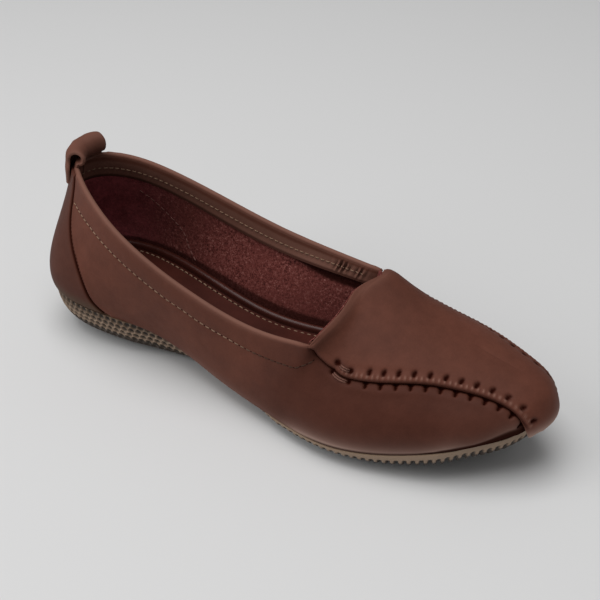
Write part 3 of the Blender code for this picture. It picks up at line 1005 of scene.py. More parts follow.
def eased_corners(outer, girth, slack):
    """Wall's face drawn smooth round the throat corner on each side."""
    for side in (-1, 1):
        near = np.flatnonzero((girth * side > CORNER - 0.10) & (girth * side < CORNER + 0.12))
        block = outer[near]
        faces = grid(*block.shape[:2])
        smooth = relaxed(block.reshape(-1, 3), faces, slack[near].ravel(), CORNER_ROUNDS)
        outer[near] = smooth.reshape(block.shape)
    return outer


def collar_roll(girth, turn_level, radius, lift, turn):
    """Half round of leather from the top of the wall over to the facing."""
    normal = skin_normal(girth, turn_level)
    edge = skin(girth, turn_level)
    rise = unit(edge - skin(girth, turn_level - 0.02))
    centre = edge - normal * radius[:, None]
    swollen = normal[:, None] * (lift * np.cos(0.5 * turn) ** 2)[..., None]
    return centre[:, None] + radius[:, None, None] * around(normal, rise, turn) + swollen


def facing_band(girth, chord, turn_level, radius, share):
    """Inside of the collar, turned in and gathered by the throat: its levels, points and gathers."""
    size = np.abs(girth)
    ribs = girth[:, None]
    depth = FACING_TUCKED + (FACING_DEPTH - FACING_TUCKED) * (1.0 - past(size, *FACING_END))
    height = turn_level[:, None] - (depth - radius)[:, None].clip(0.3) * share / chord[:, None]
    gathered = past(size, *GATHER_START) * (1.0 - past(size, *GATHER_END))
    ripple = GATHER_DEPTH * np.cos(2.0 * math.pi * along(crest(girth)) / GATHER_PITCH) * gathered
    gather = np.sin(math.pi * share) * ripple[:, None]
    stand = swell(size, *FACING_STAND)[:, None] * share**2
    puff = FACING_PUFF * np.sin(math.pi * np.clip(share * 1.5, 0.0, 1.0))
    inward = 2.0 * radius[:, None] + gather + stand + puff * (1.0 - past(size, *COVERED))[:, None]
    return height, skin(ribs, height) - skin_normal(ribs, height) * inward[..., None], gather


def upper(finish):
    """Wall of the shoe: a closed ring of leather, rolled over the collar into the facing inside."""
    places = girths(HEEL_STEP, QUARTER_STEP, VAMP_STEP)
    girth = np.concatenate([places[::-1], -places[1:-1]])
    size = np.abs(girth)
    ribs = girth[:, None]
    chord = rib_chord(girth)
    lap = np.minimum(1.0, seam_level(girth) + APRON_LAP / chord)
    covered = past(size, *COVERED)
    radius = ROLL_RADIUS + (0.5 * WALL - ROLL_RADIUS) * covered
    turn_level = np.where(size <= CORNER, 1.0, lap) - radius / chord
    share = np.concatenate([np.linspace(0.0, 0.72, 35), np.linspace(0.72, 1.0, 28)[1:]])
    height = turn_level[:, None] * share
    from_ends = np.minimum(share, 1.0 - share) * (turn_level * chord)[:, None]
    slack = 0.6 * hump(size, CORNER + 0.01, 0.045)[:, None] * ease(from_ends / 4.0)
    outer = eased_corners(skin(ribs, height), girth, slack)
    lift, dark, edge, worn = wall_relief(girth, height, outer, chord)
    outer = outer + skin_normal(ribs, height) * lift[..., None]
    turn = np.linspace(0.0, math.pi, 11)[1:-1]
    roll = collar_roll(girth, turn_level, radius, lift[:, -1:], turn)
    facing_share = np.linspace(0.0, 1.0, 13)
    facing_level, facing, gather = facing_band(girth, chord, turn_level, radius, facing_share)
    inner_level = (facing_level[:, -1:] - 0.12 / chord[:, None]) * np.linspace(1.0, 0.0, 12)
    inner = skin(ribs, inner_level) - skin_normal(ribs, inner_level) * WALL
    inner[:, -1, 2] = feather(girth)[:, 2]
    turned = plan(girth) - outward(girth) * MARGIN_WIDTH
    bottom = feather_height(turned[:, 0])
    margin = np.stack([np.column_stack([turned, bottom - drop]) for drop in (0.05, 0.2)], 1)
    ring = np.concatenate([outer, roll, facing, inner, margin], axis=1)
    rest = np.zeros((len(girth), ring.shape[1] - outer.shape[1]))
    band = slice(len(turn), len(turn) + len(facing_share))
    rim = rest.copy()
    # Painted highlight along the crest of the collar's roll.
    rim[:, :len(turn)] = 0.6 * np.sin(turn) * (1.0 - covered[:, None])
    # Painted light: the facing inside the collar painted lighter, as it stands in shade.
    rim[:, band] = 0.55 * (1.0 - covered[:, None]) * (1.0 - hump(facing_share, 0.12, 0.10))
    shade = rest.copy()
    heel_seam = hump(girth * half_girth(), HEEL_SEAM, 0.6)[:, None] * (facing_share > 0.02)
    # Painted shade in the troughs of the gathers and a dark seam line at the heel; the facing's last rows
    # are dark, a painted shadow along its lower edge.
    shade[:, band] = 0.55 * np.clip(-gather / GATHER_DEPTH, 0.0, 1.0) + 0.9 * heel_seam
    shade[:, band][:, -2:] = 0.7
    fields = {"dark": (dark, shade), "edge": (edge, rim), "worn": (worn, rest)}
    fields = {name: np.concatenate(values, 1).ravel() for name, values in fields.items()}
    faces = grid(*ring.shape[:2], ring=True, closed=True)
    return add_piece("upper_leather", ring.reshape(-1, 3), faces, finish,
                     ("upper", "collar_facing"), fields)


def foot_reflection_and_shadow(size, above_foot):
    """Painted reflection, pale at the wall's foot, and how dark the painted shadow line under it is."""
    line = stepped(size, SHADOW_LINE_LEAST, SHADOW_LINE_STEPS)
    worn = stepped(size, REFLECTED_LEAST, REFLECTED_STEPS) + swell(size, *REFLECTED_BALL)
    worn = worn * past(size, 0.34, 0.08) * np.exp(-np.clip(above_foot - line, 0.0, None) / REFLECTED_HEIGHT)
    # The second value is a painted shadow line under the wall's edge, widening round the toe.
    return worn, 0.95 * past(size, 0.58, 0.08) * np.exp(-((above_foot / line) ** 8))


def wall_relief(girth, height, points, chord):
    """Lift of the wall's face by seams, holes and creases, and its painted shade, painted highlight and
    painted reflection.
    """
    flat = points.reshape(-1, 3)
    size = np.abs(girth)[:, None]
    below_collar = (1.0 - height) * chord[:, None]
    above_foot = height * chord[:, None]
    seam_gap, counter_gap = (nearest(flat, both_lines(line))[0].reshape(height.shape)
                             for line in (seam_line, counter_line))
    under_apron = (size > CORNER) & (height > seam_level(girth[:, None]))
    behind = size < counter_seam(height)[..., 0]
    holes = np.maximum(sink_holes(flat, WALL_HOLES), near_spots(flat, bar_ends(-BAR_WALL_GAP), 1.0))
    holes = holes.reshape(height.shape)
    on_collar = (size > COLLAR_BAND[0]) & (size < COLLAR_BAND[1])
    band = np.sin(math.pi * np.clip(below_collar / COLLAR_STITCH_DEPTH, 0.0, 1.0)) * on_collar
    toe = past(size, *TOE_ZONE)
    by_seam = swell(seam_gap, *SEAM_GROOVE) + swell(seam_gap, *SEAM_SWELL)
    by_counter = swell(counter_gap, *COUNTER_GROOVE) + swell(counter_gap, *COUNTER_SWELL)
    lift = np.where(under_apron, SEAM_GROOVE[0], by_seam)
    lift += np.where(behind, COUNTER_BED, by_counter) - HOLE_DEPTH * holes
    lift += swell(below_collar, *STITCH_CHANNEL) * on_collar * (1.0 - past(size, 0.44, 0.04))
    lift += COLLAR_SWELL * band * (1.0 - past(size, 0.42, 0.12))
    lift += creases(girth[:, None], height, chord[:, None])
    lift -= (FOOT_TUCK[0] + TOE_TUCK[0] * toe) * hump(above_foot, 0.0, FOOT_TUCK[1] + TOE_TUCK[1] * toe)
    worn, line = foot_reflection_and_shadow(size, above_foot)
    # Painted shade: the fore part of the wall darkened where it faces away from the light, not under the
    # apron.
    fore_shade = past(size, 0.46, 0.12) * (1.0 - 0.3 * past(size, 0.80, 0.08)) * (1.0 - under_apron)
    fore_shade *= FORE_SHADE * (1.0 - worn)
    bars = near_spots(flat, bar_line(-BAR_WALL_GAP), 1.1).reshape(height.shape)
    # Painted shade along the apron's and counter's seams, in the holes and beside the sewn bars, and the
    # painted shadow line at the foot.
    dark = np.clip(swell(seam_gap, *SEAM_SHADE) + HOLE_SHADE * holes, 0.0, 1.0)
    for shade in (swell(counter_gap, *COUNTER_SHADE), BAR_SHADE * bars, fore_shade, line):
        dark = np.maximum(dark, shade)
    return lift, dark, swell(below_collar, *COLLAR_RUB_AND_HIGHLIGHT), worn


def apron_sheet():
    """Middle of the apron, halves met on the ridge: on the solid, then as it lies, and its faces."""
    places = np.concatenate([np.arange(CORNER, 1.0, VAMP_STEP), [1.0]])
    climb = np.concatenate([np.linspace(0.0, 0.34, 27), np.linspace(0.34, 1.0, 21)[1:]])
    halves = []
    for side in (-1, 1):
        foot = seam_level(side * places)[:, None]
        halves.append(skin(side * places[:, None], foot + (1.0 - foot) * climb))
    half = grid(*halves[0].shape[:2])
    points = np.concatenate([halves[0].reshape(-1, 3), halves[1][:, ::-1].reshape(-1, 3)])
    points, faces, _ = weld(points, np.concatenate([half, half + halves[0][..., 0].size]))
    throat_gap, _ = nearest(points, throat_line())
    seam_gap, _ = nearest(points, both_lines(seam_line))
    slack = ease(np.minimum(throat_gap / 0.8, seam_gap / 5.0)) * (1.0 - past(throat_gap, 14.0, 14.0))
    laid = relaxed(points, faces, 0.6 * slack, THROAT_ROUNDS)
    bow = hump(laid[:, 1], *THROAT_BOW_AT) * past(seam_gap, 1.0, 16.0)
    laid[:, 0] -= THROAT_BOW * bow * (1.0 - ease(throat_gap / THROAT_BOW_REACH))
    toe_gap, number = nearest(points, toe_edge())
    hang = 1.0 - ease(toe_gap / TOE_HANG_REACH)
    laid[:, 2] -= TOE_DROP * hang
    laid += TOE_PUSH * level(unit(toe_edge()[number, :2] - TOE_CENTRE)) * hang[:, None]
    return points, laid, faces


def apron(sheet, finish):
    """Panel sewn over the toe."""
    flat, points, faces = sheet
    throat_gap, _ = nearest(flat, throat_line())
    toe_gap, _ = nearest(flat, toe_edge())
    seam_gap, number = nearest(points, both_lines(seam_line))
    one_side = len(seam_line(-1))
    run = np.where(number < one_side, number, number - one_side) * LINE_STEP
    border = np.minimum(np.minimum(seam_gap, throat_gap), toe_gap)
    face = APRON_EDGE + (APRON_FACE - APRON_EDGE) * rounded(border, EDGE_ROUND)
    holes = np.maximum(sink_holes(points, APRON_HOLES), near_spots(points, bar_ends(BAR_APRON_GAP), 1.15))
    beside_bar = near_spots(flat, bar_line(BAR_APRON_GAP), 1.1)
    sewn = past(run, BAR_PLACES[0], 6.0)
    pucker = np.cos(2.0 * math.pi * run / PUCKER_PITCH) * hump(seam_gap, 1.7, 0.8) * sewn
    face += 0.16 * pucker - HOLE_DEPTH * holes - 0.25 * hump(seam_gap, 4.2, 1.5) * sewn
    filled = throat_gap / THROAT_FILL_REACH
    face += THROAT_FILL * filled * np.exp(1.0 - filled) * past(seam_gap, 1.0, 12.0)
    under = np.minimum(APRON_UNDER + APRON_HOLLOW * np.clip((border - 1.0) / 3.0, 0.0, 1.0), face - 0.15)
    solid, faces = thick_sheet(points, faces, under, face)
    # Painted shade in the holes, beside the bars and along the seam; painted highlight on the puckers and
    # along the throat; painted reflection along the toe edge.
    dark = np.clip(HOLE_SHADE * holes + 0.5 * beside_bar + swell(seam_gap, 0.6, 0.0, 0.6), 0.0, 1.0)
    edge = swell(throat_gap, *THROAT_HIGHLIGHT) + 0.8 * np.clip(pucker, 0.0, 1.0)
    fields = {"dark": dark, "edge": edge, "worn": swell(toe_gap, *TOE_REFLECTED)}
    fields = {name: np.tile(values, 2) for name, values in fields.items()}
    return add_piece("apron_leather", solid, faces, finish, ("apron",), fields,
                     sharp=75.0)


def counter(finish):
    """Back panel between its two closed seams."""
    height = np.linspace(COUNTER_FOOT, COUNTER_TOP, 90)
    side = np.sin(0.5 * math.pi * np.linspace(1.0, -1.0, 141))
    girth = side[:, None] * counter_seam(height)[..., 0]
    points = skin(girth, np.broadcast_to(height, girth.shape)).reshape(-1, 3)
    seam_gap, _ = nearest(points, both_lines(counter_line))
    chord = rib_chord(girth)
    above_foot = (height * chord).ravel()
    border = np.minimum(seam_gap, ((COUNTER_TOP - height) * chord).ravel())
    face = COUNTER_EDGE + (COUNTER_FACE - COUNTER_EDGE) * rounded(border, COUNTER_ROUND)
    face -= swell(above_foot, 0.3, 0.0, 1.6)
    solid, faces = thick_sheet(points, grid(*girth.shape), COUNTER_UNDER, face)
    # Painted shade: the whole counter darkened, as it faces the light, and more along its seams.
    dark = 0.36 + swell(seam_gap, 0.49, 0.0, 0.45)
    # Tan towards the foot of the counter.
    dust = 0.9 * (1.0 - past(above_foot, 2.5, 7.0))
    fields = {"dark": np.tile(dark, 2), "dust": np.tile(dust, 2)}
    return add_piece("heel_counter_leather", solid, faces, finish, ("heel_counter",),
                     fields, sharp=75.0)


def lining(sheet, finish):
    """Thin suede inside the wall and under the apron."""
    places = girths(0.006, 0.006, 0.005)
    girth = np.concatenate([places[::-1], -places[1:]])
    size = np.abs(girth)
    chord = rib_chord(girth)
    below = FACING_DEPTH - 1.5 + (2.7 - FACING_DEPTH) * past(size, *FACING_END)
    below *= 1.0 - past(size, 0.64, THROAT_TOP - 0.64)
    height = (1.0 - below / chord)[:, None] * np.linspace(0.0, 1.0, 45)
    over = np.where(size > CORNER, seam_level(girth) + APRON_LAP / chord, 2.0)[:, None]
    tucked = ease((height - over) * chord[:, None] / 4.0)
    face = -(WALL + LINING_PLAY) + (WALL - 0.35) * tucked
    points, faces, kept = weld(skin(girth[:, None], height).reshape(-1, 3), grid(*height.shape))
    face = face.ravel()[kept]
    flat, laid, _ = sheet
    _, number = nearest(points, flat)
    points = points + (laid - flat)[number] * tucked.ravel()[kept, None]
    solid, faces = thick_sheet(points, faces, face - LINING_THICKNESS, face)
    # Painted light: the lining round the heel is painted lighter, as it lies in shade.
    back = np.broadcast_to(1.0 - past(size[:, None], 0.05, 0.17), height.shape)
    below_facing = (1.0 - height) * chord[:, None] - FACING_DEPTH
    reach = 5.5 * (past(size, 0.38, 0.12) * (1.0 - past(size, 0.555, 0.02)))[:, None]
    # Painted shadow under the facing's lower edge, and painted shade low down where the lining meets the
    # insole.
    shaded = 0.92 * ease(reach / 2.0) * (1.0 - past(below_facing, reach - 1.5, 1.5))
    shaded = np.maximum(shaded, 0.8 * (1.0 - past(height * chord[:, None], 4.6, 1.6)))
    fields = {"back": back, "dark": shaded}
    fields = {name: np.tile(values.ravel()[kept], 2) for name, values in fields.items()}
    return add_piece("suede_lining", solid, faces, finish, fields=fields, sharp=60.0)


def insole_profile():
    """Rows of the insole's edge from its underside up over the bead to the flat: inward, up."""
    middle = 0.5 * BEAD_WIDTH
    rows = [(0.0, 0.0), (0.0, 0.5 * INSOLE_THICKNESS)]
    for turn in np.linspace(math.pi, 0.12 * math.pi, 13):
        up = INSOLE_THICKNESS - 0.3 + (BEAD_HEIGHT + 0.3) * math.sin(turn)
        rows.append((middle + middle * math.cos(turn), up))
    rows += [(BEAD_WIDTH + 0.25, INSOLE_THICKNESS - 0.5), (BEAD_WIDTH + 0.9, INSOLE_THICKNESS - 0.15)]
    rows += [(BEAD_WIDTH + inward, INSOLE_THICKNESS) for inward in np.linspace(1.6, 12.0, 12)]
    return rows


def insole(finish):
    girth = both_sides(np.linspace(0.0, 1.0, 321))
    edge = plan(girth) - outward(girth) * (WALL + INSOLE_PLAY)
    away = level(outward(girth))
    base = np.concatenate([edge, feather_height(edge[:, 0])], 1)
    profile = [base - away * inward + UP * up for inward, up in insole_profile()]
    points, faces, kept = weld(*ladder(np.stack(profile, axis=1)))
    inward = np.array([row[0] for row in insole_profile()])
    # Painted shade in the groove beside the bead.
    dark = np.pad(0.85 * hump(inward, BEAD_WIDTH + 0.5, 0.9), 1)
    dark = np.broadcast_to(dark, (len(girth), len(dark))).ravel()[kept]
    return add_piece("insole_leather", points, faces, finish, ("insole",),
                     {"dark": dark}, sharp=60.0)


def sole_sections(girth):
    """Profiles of the rubber from under the leather round its side, then a step up to the studs' base."""
    top = feather(girth) - UP * PLAY
    away = level(outward(girth))
    tuck = along_table(SOLE_TUCK, top[:, 0])
    edge = top + away * along_table(SOLE_LEDGE, top[:, 0])[:, None]
    apart = TOE_APART * past(np.abs(girth), *TOE_APART_ZONE)
    edge[:, 2] = feather_height(edge[:, 0])[:, 0] - PLAY - apart
    foot = plan(girth) - outward(girth) * tuck[:, None]
    floor = underside(foot[:, 0]) - apart
    profile = [edge - away * 4.0, edge - away * 0.3]
    for turn in np.linspace(0.0, 0.5 * math.pi, 56):
        share = 1.0 - math.cos(turn)
        point = edge * (1.0 - share) + np.concatenate([foot, edge[:, 2:]], 1) * share
        point[:, 2] = edge[:, 2] + (floor - edge[:, 2]) * math.sin(turn)
        profile.append(point)
    inner = plan(girth) - outward(girth) * (tuck + 1.0)[:, None]
    profile.append(np.concatenate([inner, (floor + 0.8 * STUD_HEIGHT)[:, None]], 1))
    return np.stack(profile, axis=1)


def honeycomb(across, row):
    """Depth of round pits in staggered rows, 0 to 1."""
    pits = np.zeros(row.shape)
    for odd in (0, 1):
        nearest_row = 2.0 * np.round((row - odd) / 2.0) + odd
        side = (across - 0.5 * odd - np.round(across - 0.5 * odd)) * PIT_PITCH
        gap = np.hypot(side, (row - nearest_row) * PIT_ROW)
        pits = np.maximum(pits, (nearest_row >= 0) * ease((PIT_RADIUS + 0.2 - gap) / 0.4))
    return pits


def outsole(finish):
    """Moulded rubber with a honeycomb of pits round the heel and notches in its edge further forward."""
    girth = both_sides(np.linspace(0.0, 1.0, int(1.0 / SOLE_STEP) + 1))
    size = np.abs(girth)[:, None]
    sections = sole_sections(girth)
    edge_run = along(sections[:, 2])
    cells = int(round(edge_run[-1] / PIT_PITCH))
    across = (edge_run / edge_run[-1] * cells)[:, None]
    steps = np.linalg.norm(np.diff(sections[:, 2:], axis=1), axis=2)
    down = np.concatenate([np.zeros((len(girth), 3)), np.cumsum(steps, axis=1)], axis=1)
    fore = past(size, *FORE_ZONE)
    narrow = 1.0 - past(size, *BALL_ZONE)
    start = PIT_START_HEEL + (PIT_START_TOE - PIT_START_NARROW * narrow - PIT_START_HEEL) * fore
    limit = SHADE_HEEL + (SHADE_TOE - SHADE_NARROW * narrow - SHADE_HEEL) * fore
    middle = np.abs(across - np.round(across)) * PIT_PITCH
    notches = ease((NOTCH_RADIUS + 0.3 - np.hypot(middle, np.clip(start - down, 0.0, None))) / 0.6)
    pits = honeycomb(across, (down - start) / PIT_ROW) * (1.0 - fore) + notches * fore
    pits[:, :2] = 0.0
    pits[:, -2:] = 0.0
    points, faces = ladder(sections)
    points, faces, kept = weld(points, faces[:, ::-1])
    # Painted shade: dark in the pits and notches, and on the rubber's underside towards the floor.
    fields = {"sunk": pits, "dark": np.maximum(pits, 0.9 * past(down, limit, 1.2)),
              "edge": past(down, 2.0, 4.0) * (1.0 - fore) + 0.8 * fore}
    fields = {name: np.pad(values, ((0, 0), (1, 1))).ravel()[kept] for name, values in fields.items()}
    points = points - normals_of(points, faces) * (PIT_DEPTH * fields.pop("sunk"))[:, None]
    return add_piece("outsole_rubber", points, faces, finish, ("outsole",), fields,
                     sharp=70.0)


def studs(finish):
    """Small round studs under the rubber, their tops on the solid's underside."""
    girth = both_sides(np.linspace(0.0, 1.0, 401))
    centre = plan(girth)
    away = outward(girth)
    tuck = along_table(SOLE_TUCK, centre[:, 0])
    foot = level(centre - away * tuck[:, None])
    columns = np.arange(0.0, LENGTH, STUD_PITCH * 0.866)
    spots = []
    for number, x in enumerate(columns):
        shift = 0.5 * STUD_PITCH * (number % 2)
        spots += [(x, y + shift, 0.0) for y in np.arange(-45.0, 45.0, STUD_PITCH)]
    spots = np.array(spots)
    _, number = nearest(spots, foot)
    inside = ((spots - foot[number])[:, :2] * away[number]).sum(1) < -(STUD_RADIUS + 1.2)
    spots = spots[inside]
    spots[:, 2] = underside(spots[:, 0])
    turn = circle(8)
    rings = ((0.0, STUD_HEIGHT + 0.3), (1.0, STUD_HEIGHT + 0.3), (1.0, 0.35), (0.75, 0.05), (0.0, 0.0))
    rim = STUD_RADIUS * np.column_stack([np.cos(turn), np.sin(turn), np.zeros(len(turn))])
    shape = np.array([size * rim + up * UP for size, up in rings])
    points = (spots[:, None, None] + shape).reshape(-1, 3)
    each = grid(len(rings), len(turn), ring=True)
    faces = (each[None] + (np.arange(len(spots)) * shape[..., 0].size)[:, None, None]).reshape(-1, 4)
    points, faces, _ = weld(points, faces)
    return add_piece("sole_studs", points, faces, finish,
                     fields={"dark": np.zeros(len(points))})


def loop_sheet(across, steps):
    """Middle of the strap at even places across and along it: up the heel, then over the collar's edge."""
    girth = np.linspace(LOOP_EDGES[1], LOOP_EDGES[0], across)
    chord = rib_chord(girth)
    knots = []
    for depth, gap in LOOP_FOOT:
        height = 1.0 - depth * LOOP_DEPTH / chord
        knots.append(skin(girth, height) + gap * skin_normal(girth, height))
    forward = unit(LOOP_STRAIGHT * np.array([1.0, 0.0]) - (1.0 - LOOP_STRAIGHT) * outward(girth))
    taller = 1.0 + LOOP_TILT * np.linspace(1.0, -1.0, across)
    for reach, up in LOOP_LINE + LOOP_END:
        knots.append(crest(girth) + level(reach * forward) + np.outer(up * taller, UP))
    knots = np.array(knots)
    places = np.linspace(0.0, 1.0, len(knots))
    line = cubic_through(places, knots.reshape(len(knots), -1))(np.linspace(0.0, 1.0, steps))
    return line.reshape(steps, across, 3)


def pull_loop(finish):
    """Folded strap with rounded edges, on the solid's own middle."""
    across = 25
    steps = 121
    sheet = loop_sheet(across, steps)
    points = sheet.reshape(-1, 3)
    normals = normals_of(points, grid(steps, across)).reshape(sheet.shape)
    turn = circle(40)
    wide = np.sign(np.cos(turn)) * np.abs(np.cos(turn)) ** 0.35
    thick = np.sign(np.sin(turn)) * np.abs(np.sin(turn)) ** 0.55
    thick *= np.where(thick > 0.0, 0.5 * LOOP_THICKNESS, LOOP_INSIDE)
    place = 0.5 * (1.0 + wide) * (across - 1)
    left = np.clip(place.astype(int), 0, across - 2)
    share = (place - left)[:, None]
    body = sheet[:, left] * (1.0 - share) + sheet[:, left + 1] * share
    body += (normals[:, left] * (1.0 - share) + normals[:, left + 1] * share) * thick[:, None]
    ends = [np.repeat(body[end].mean(0)[None, None], len(turn), 1) for end in (0, -1)]
    whole = np.concatenate([ends[0], body, ends[1]])
    points, faces, kept = weld(whole.reshape(-1, 3), grid(*whole.shape[:2], ring=True))
    # Lighter all over, and a painted highlight on the strap's rounded edges.
    rim = np.broadcast_to(np.abs(np.cos(turn)) ** 6, whole.shape[:2]).ravel()[kept]
    fields = {"dark": np.zeros(len(points)), "edge": 0.22 + 0.25 * rim}
    return add_piece("pull_loop_leather", points, faces, finish, ("pull_loop",), fields,
                     sharp=75.0)


def laid_on(line, piece, lift):
    """Line brought onto a piece's face and raised over it, with the face's normals."""
    mesh = piece.data
    corners = [point.co for point in mesh.vertices]
    tree = BVHTree.FromPolygons(corners, [face.vertices for face in mesh.polygons])
    found = [tree.find_nearest(Vector(spot)) for spot in (line - ORIGIN) * MM]
    normals = np.array([hit[1] for hit in found])
    return np.array([hit[0] for hit in found]) / MM + ORIGIN + normals * lift, normals


def collar_stitches(wall, finish, shadow_finish):
    """Row below the collar outside, from the counter's seam to the apron's, and dark dots of painted shade
    between its stitches.
    """
    parts = []
    holes = []
    for side in (-1, 1):
        size = np.linspace(STITCH_START, STITCH_END, 700)
        depth = COLLAR_STITCH_DEPTH + STITCH_DROP * past(size, 0.42, 0.16)
        height = 1.0 - depth / rib_chord(side * np.minimum(size, CORNER))
        beyond = np.clip((size - CORNER) / (STITCH_END - CORNER), 0.0, 1.0)
        height = height * (1.0 - beyond) + (seam_level(side * STITCH_END) - 0.03) * beyond
        line, normals = laid_on(skin(side * size, height), wall, -0.05)
        parts.append(stitch_row(line, normals, "collar"))
        # Dark dots between the stitches: painted shade in their gaps.
        holes.append(stitch_row(line, normals, "collar_gap_shadow", 0.0, 1.0))
    add_stitches("collar_stitches", parts, finish, STITCH_FADE)
    add_stitches("collar_gap_shadows", holes, shadow_finish)


def facing_stitches(wall, finish):
    """Row along the facing, inside the collar."""
    size = np.linspace(-FACING_STITCH_END, FACING_STITCH_END, 900)
    height = 1.0 - FACING_STITCH_DEPTH / rib_chord(size)
    line = skin(size, height) - skin_normal(size, height) * (2.0 * ROLL_RADIUS + 0.3)
    line, normals = laid_on(line, wall, 0.03)
    return add_stitches("facing_stitches", [stitch_row(line, normals, "facing")], finish)


def lining_stitches(finish):
    """Row down the lining on each side, behind the foot's arch."""
    parts = []
    for side in (-1, 1):
        height = np.linspace(LINING_SEAM[0][0], LINING_SEAM[-1][0], 200)
        girth = side * lining_seam(height)[:, 0]
        normals = -skin_normal(girth, height)
        line = skin(girth, height) + normals * (WALL + LINING_PLAY + LINING_THICKNESS)
        parts.append(stitch_row(line, normals, "lining"))
    return add_stitches("lining_stitches", parts, finish)


def insole_stitches(finish, shadow_finish):
    girth = both_sides(np.linspace(0.0, 1.0, 500))
    edge = plan(girth) - outward(girth) * (WALL + INSOLE_PLAY + BEAD_WIDTH + 2.6)
    line = np.concatenate([edge, feather_height(edge[:, 0]) + INSOLE_THICKNESS], 1)
    normals = np.broadcast_to(UP, line.shape)
    parts = [stitch_row(line, normals, "insole", 0.05)]
    # Dark dots between the stitches: painted shade in their gaps.
    holes = [stitch_row(line, normals, "insole_gap_shadow", -0.1, 1.0)]
    add_stitches("insole_stitches", parts, finish)
    add_stitches("insole_gap_shadows", holes, shadow_finish)


def add_stitches(name, parts, finish, fade=None):
    """Rows of stitches as one piece; a fade gives where they turn dark along the shoe."""
    points, faces, _ = weld(*joined(parts))
    dark = np.zeros(len(points))
    if fade is not None:
        dark = 0.85 * past(points[:, 0], fade[0], fade[1] - fade[0])
    return add_piece(name, points, faces, finish, fields={"dark": dark})


def hand_stitches(finish):
    """Bars of thread beside the seam by the throat corner, two strands on the apron and two on the wall."""
    paths = []
    for side in (-1, 1):
        for gap, lift in ((BAR_APRON_GAP, APRON_FACE), (-BAR_WALL_GAP, 0.2)):
            for shift in (-STRAND_SHIFT, STRAND_SHIFT):
                run = np.linspace(BAR_PLACES[0] + BAR_INSET, BAR_PLACES[1] - BAR_INSET, 15)
                line, out = beside_seam(side, run, gap + shift)
                rise = lift + 0.2 - 1.2 * np.abs(np.linspace(-1.0, 1.0, 15)) ** 4
                paths.append(line + out * rise[:, None])
    points, faces = tubes(paths, THREAD_RADIUS)
    points, faces, _ = weld(points, faces)
    return add_piece("hand_stitches", points, faces, finish)


def new_material(name):
    made = bpy.data.materials.new(name)
    made.use_nodes = True
    return made


def add_node(made, kind, settings=(), **links):
    """Node with its socket values and the sockets that feed it, named with _ for a space."""
    tree = made.node_tree
    node = tree.nodes.new(kind)
    for socket, value in settings:
        node.inputs[socket].default_value = value
    for socket, source in links.items():
        tree.links.new(source, node.inputs[socket.replace("_", " ")])
    return node


def noise(made, scale, detail, roughness=0.55):
    settings = (("Scale", scale), ("Detail", detail), ("Roughness", roughness))
    place = add_node(made, "ShaderNodeTexCoord").outputs["Object"]
    return add_node(made, "ShaderNodeTexNoise", settings, Vector=place).outputs["Fac"]


def ramp(made, source, stops):
    """Grey value turned into colours at the given stops."""
    node = add_node(made, "ShaderNodeValToRGB", Fac=source)
    while len(node.color_ramp.elements) < len(stops):
        node.color_ramp.elements.new(0.5)
    for element, (place, colour) in zip(node.color_ramp.elements, stops):
        element.position = place
        element.color = (*colour, 1.0)
    return node.outputs["Color"]


def field(made, name):
    node = add_node(made, "ShaderNodeAttribute")
    node.attribute_name = name
    return node.outputs["Fac"]


def mixed(made, share, first, second, blend="MIX"):
    """Colour between two; share and colours are outputs of nodes or fixed."""
    node = made.node_tree.nodes.new("ShaderNodeMix")
    node.data_type = "RGBA"
    node.blend_type = blend
    for socket, value in ((0, share), (6, first), (7, second)):
        if isinstance(value, float):
            node.inputs[socket].default_value = value
        elif isinstance(value, tuple):
            node.inputs[socket].default_value = (*value, 1.0)
        else:
            made.node_tree.links.new(value, node.inputs[socket])
    return node.outputs[2]


def tinted(made, colour, **targets):
    """Colour turned towards others as far as the mesh's fields of those names say."""
    for name, target in targets.items():
        colour = mixed(made, field(made, name), colour, target)
    return colour


def tone(colour, share):
    return tuple(value * share for value in colour)


def mottled(made, grain, colour, stops):
    """Colour darker and lighter by a noise of some grain; stops are places and shares of the colour."""
    return ramp(made, noise(made, *grain), [(place, tone(colour, share)) for place, share in stops])


def dressed(made, colour, roughness, gloss, layers=()):
    """Material with its colour, roughness and gloss, and bumps: height, strength and depth in metres."""
    links = made.node_tree.links
    shader = made.node_tree.nodes["Principled BSDF"]
    links.new(colour, shader.inputs["Base Color"])
    shader.inputs["Roughness"].default_value = roughness
    if isinstance(gloss, float):
        shader.inputs["Specular IOR Level"].default_value = gloss
    else:
        links.new(gloss, shader.inputs["Specular IOR Level"])
    normal = None
    for source, strength, depth in layers:
        settings = (("Strength", strength), ("Distance", depth))
        node = add_node(made, "ShaderNodeBump", settings, Height=source)
        if normal is not None:
            links.new(normal, node.inputs["Normal"])
        normal = node.outputs["Normal"]
    if normal is not None:
        links.new(normal, shader.inputs["Normal"])
    return made


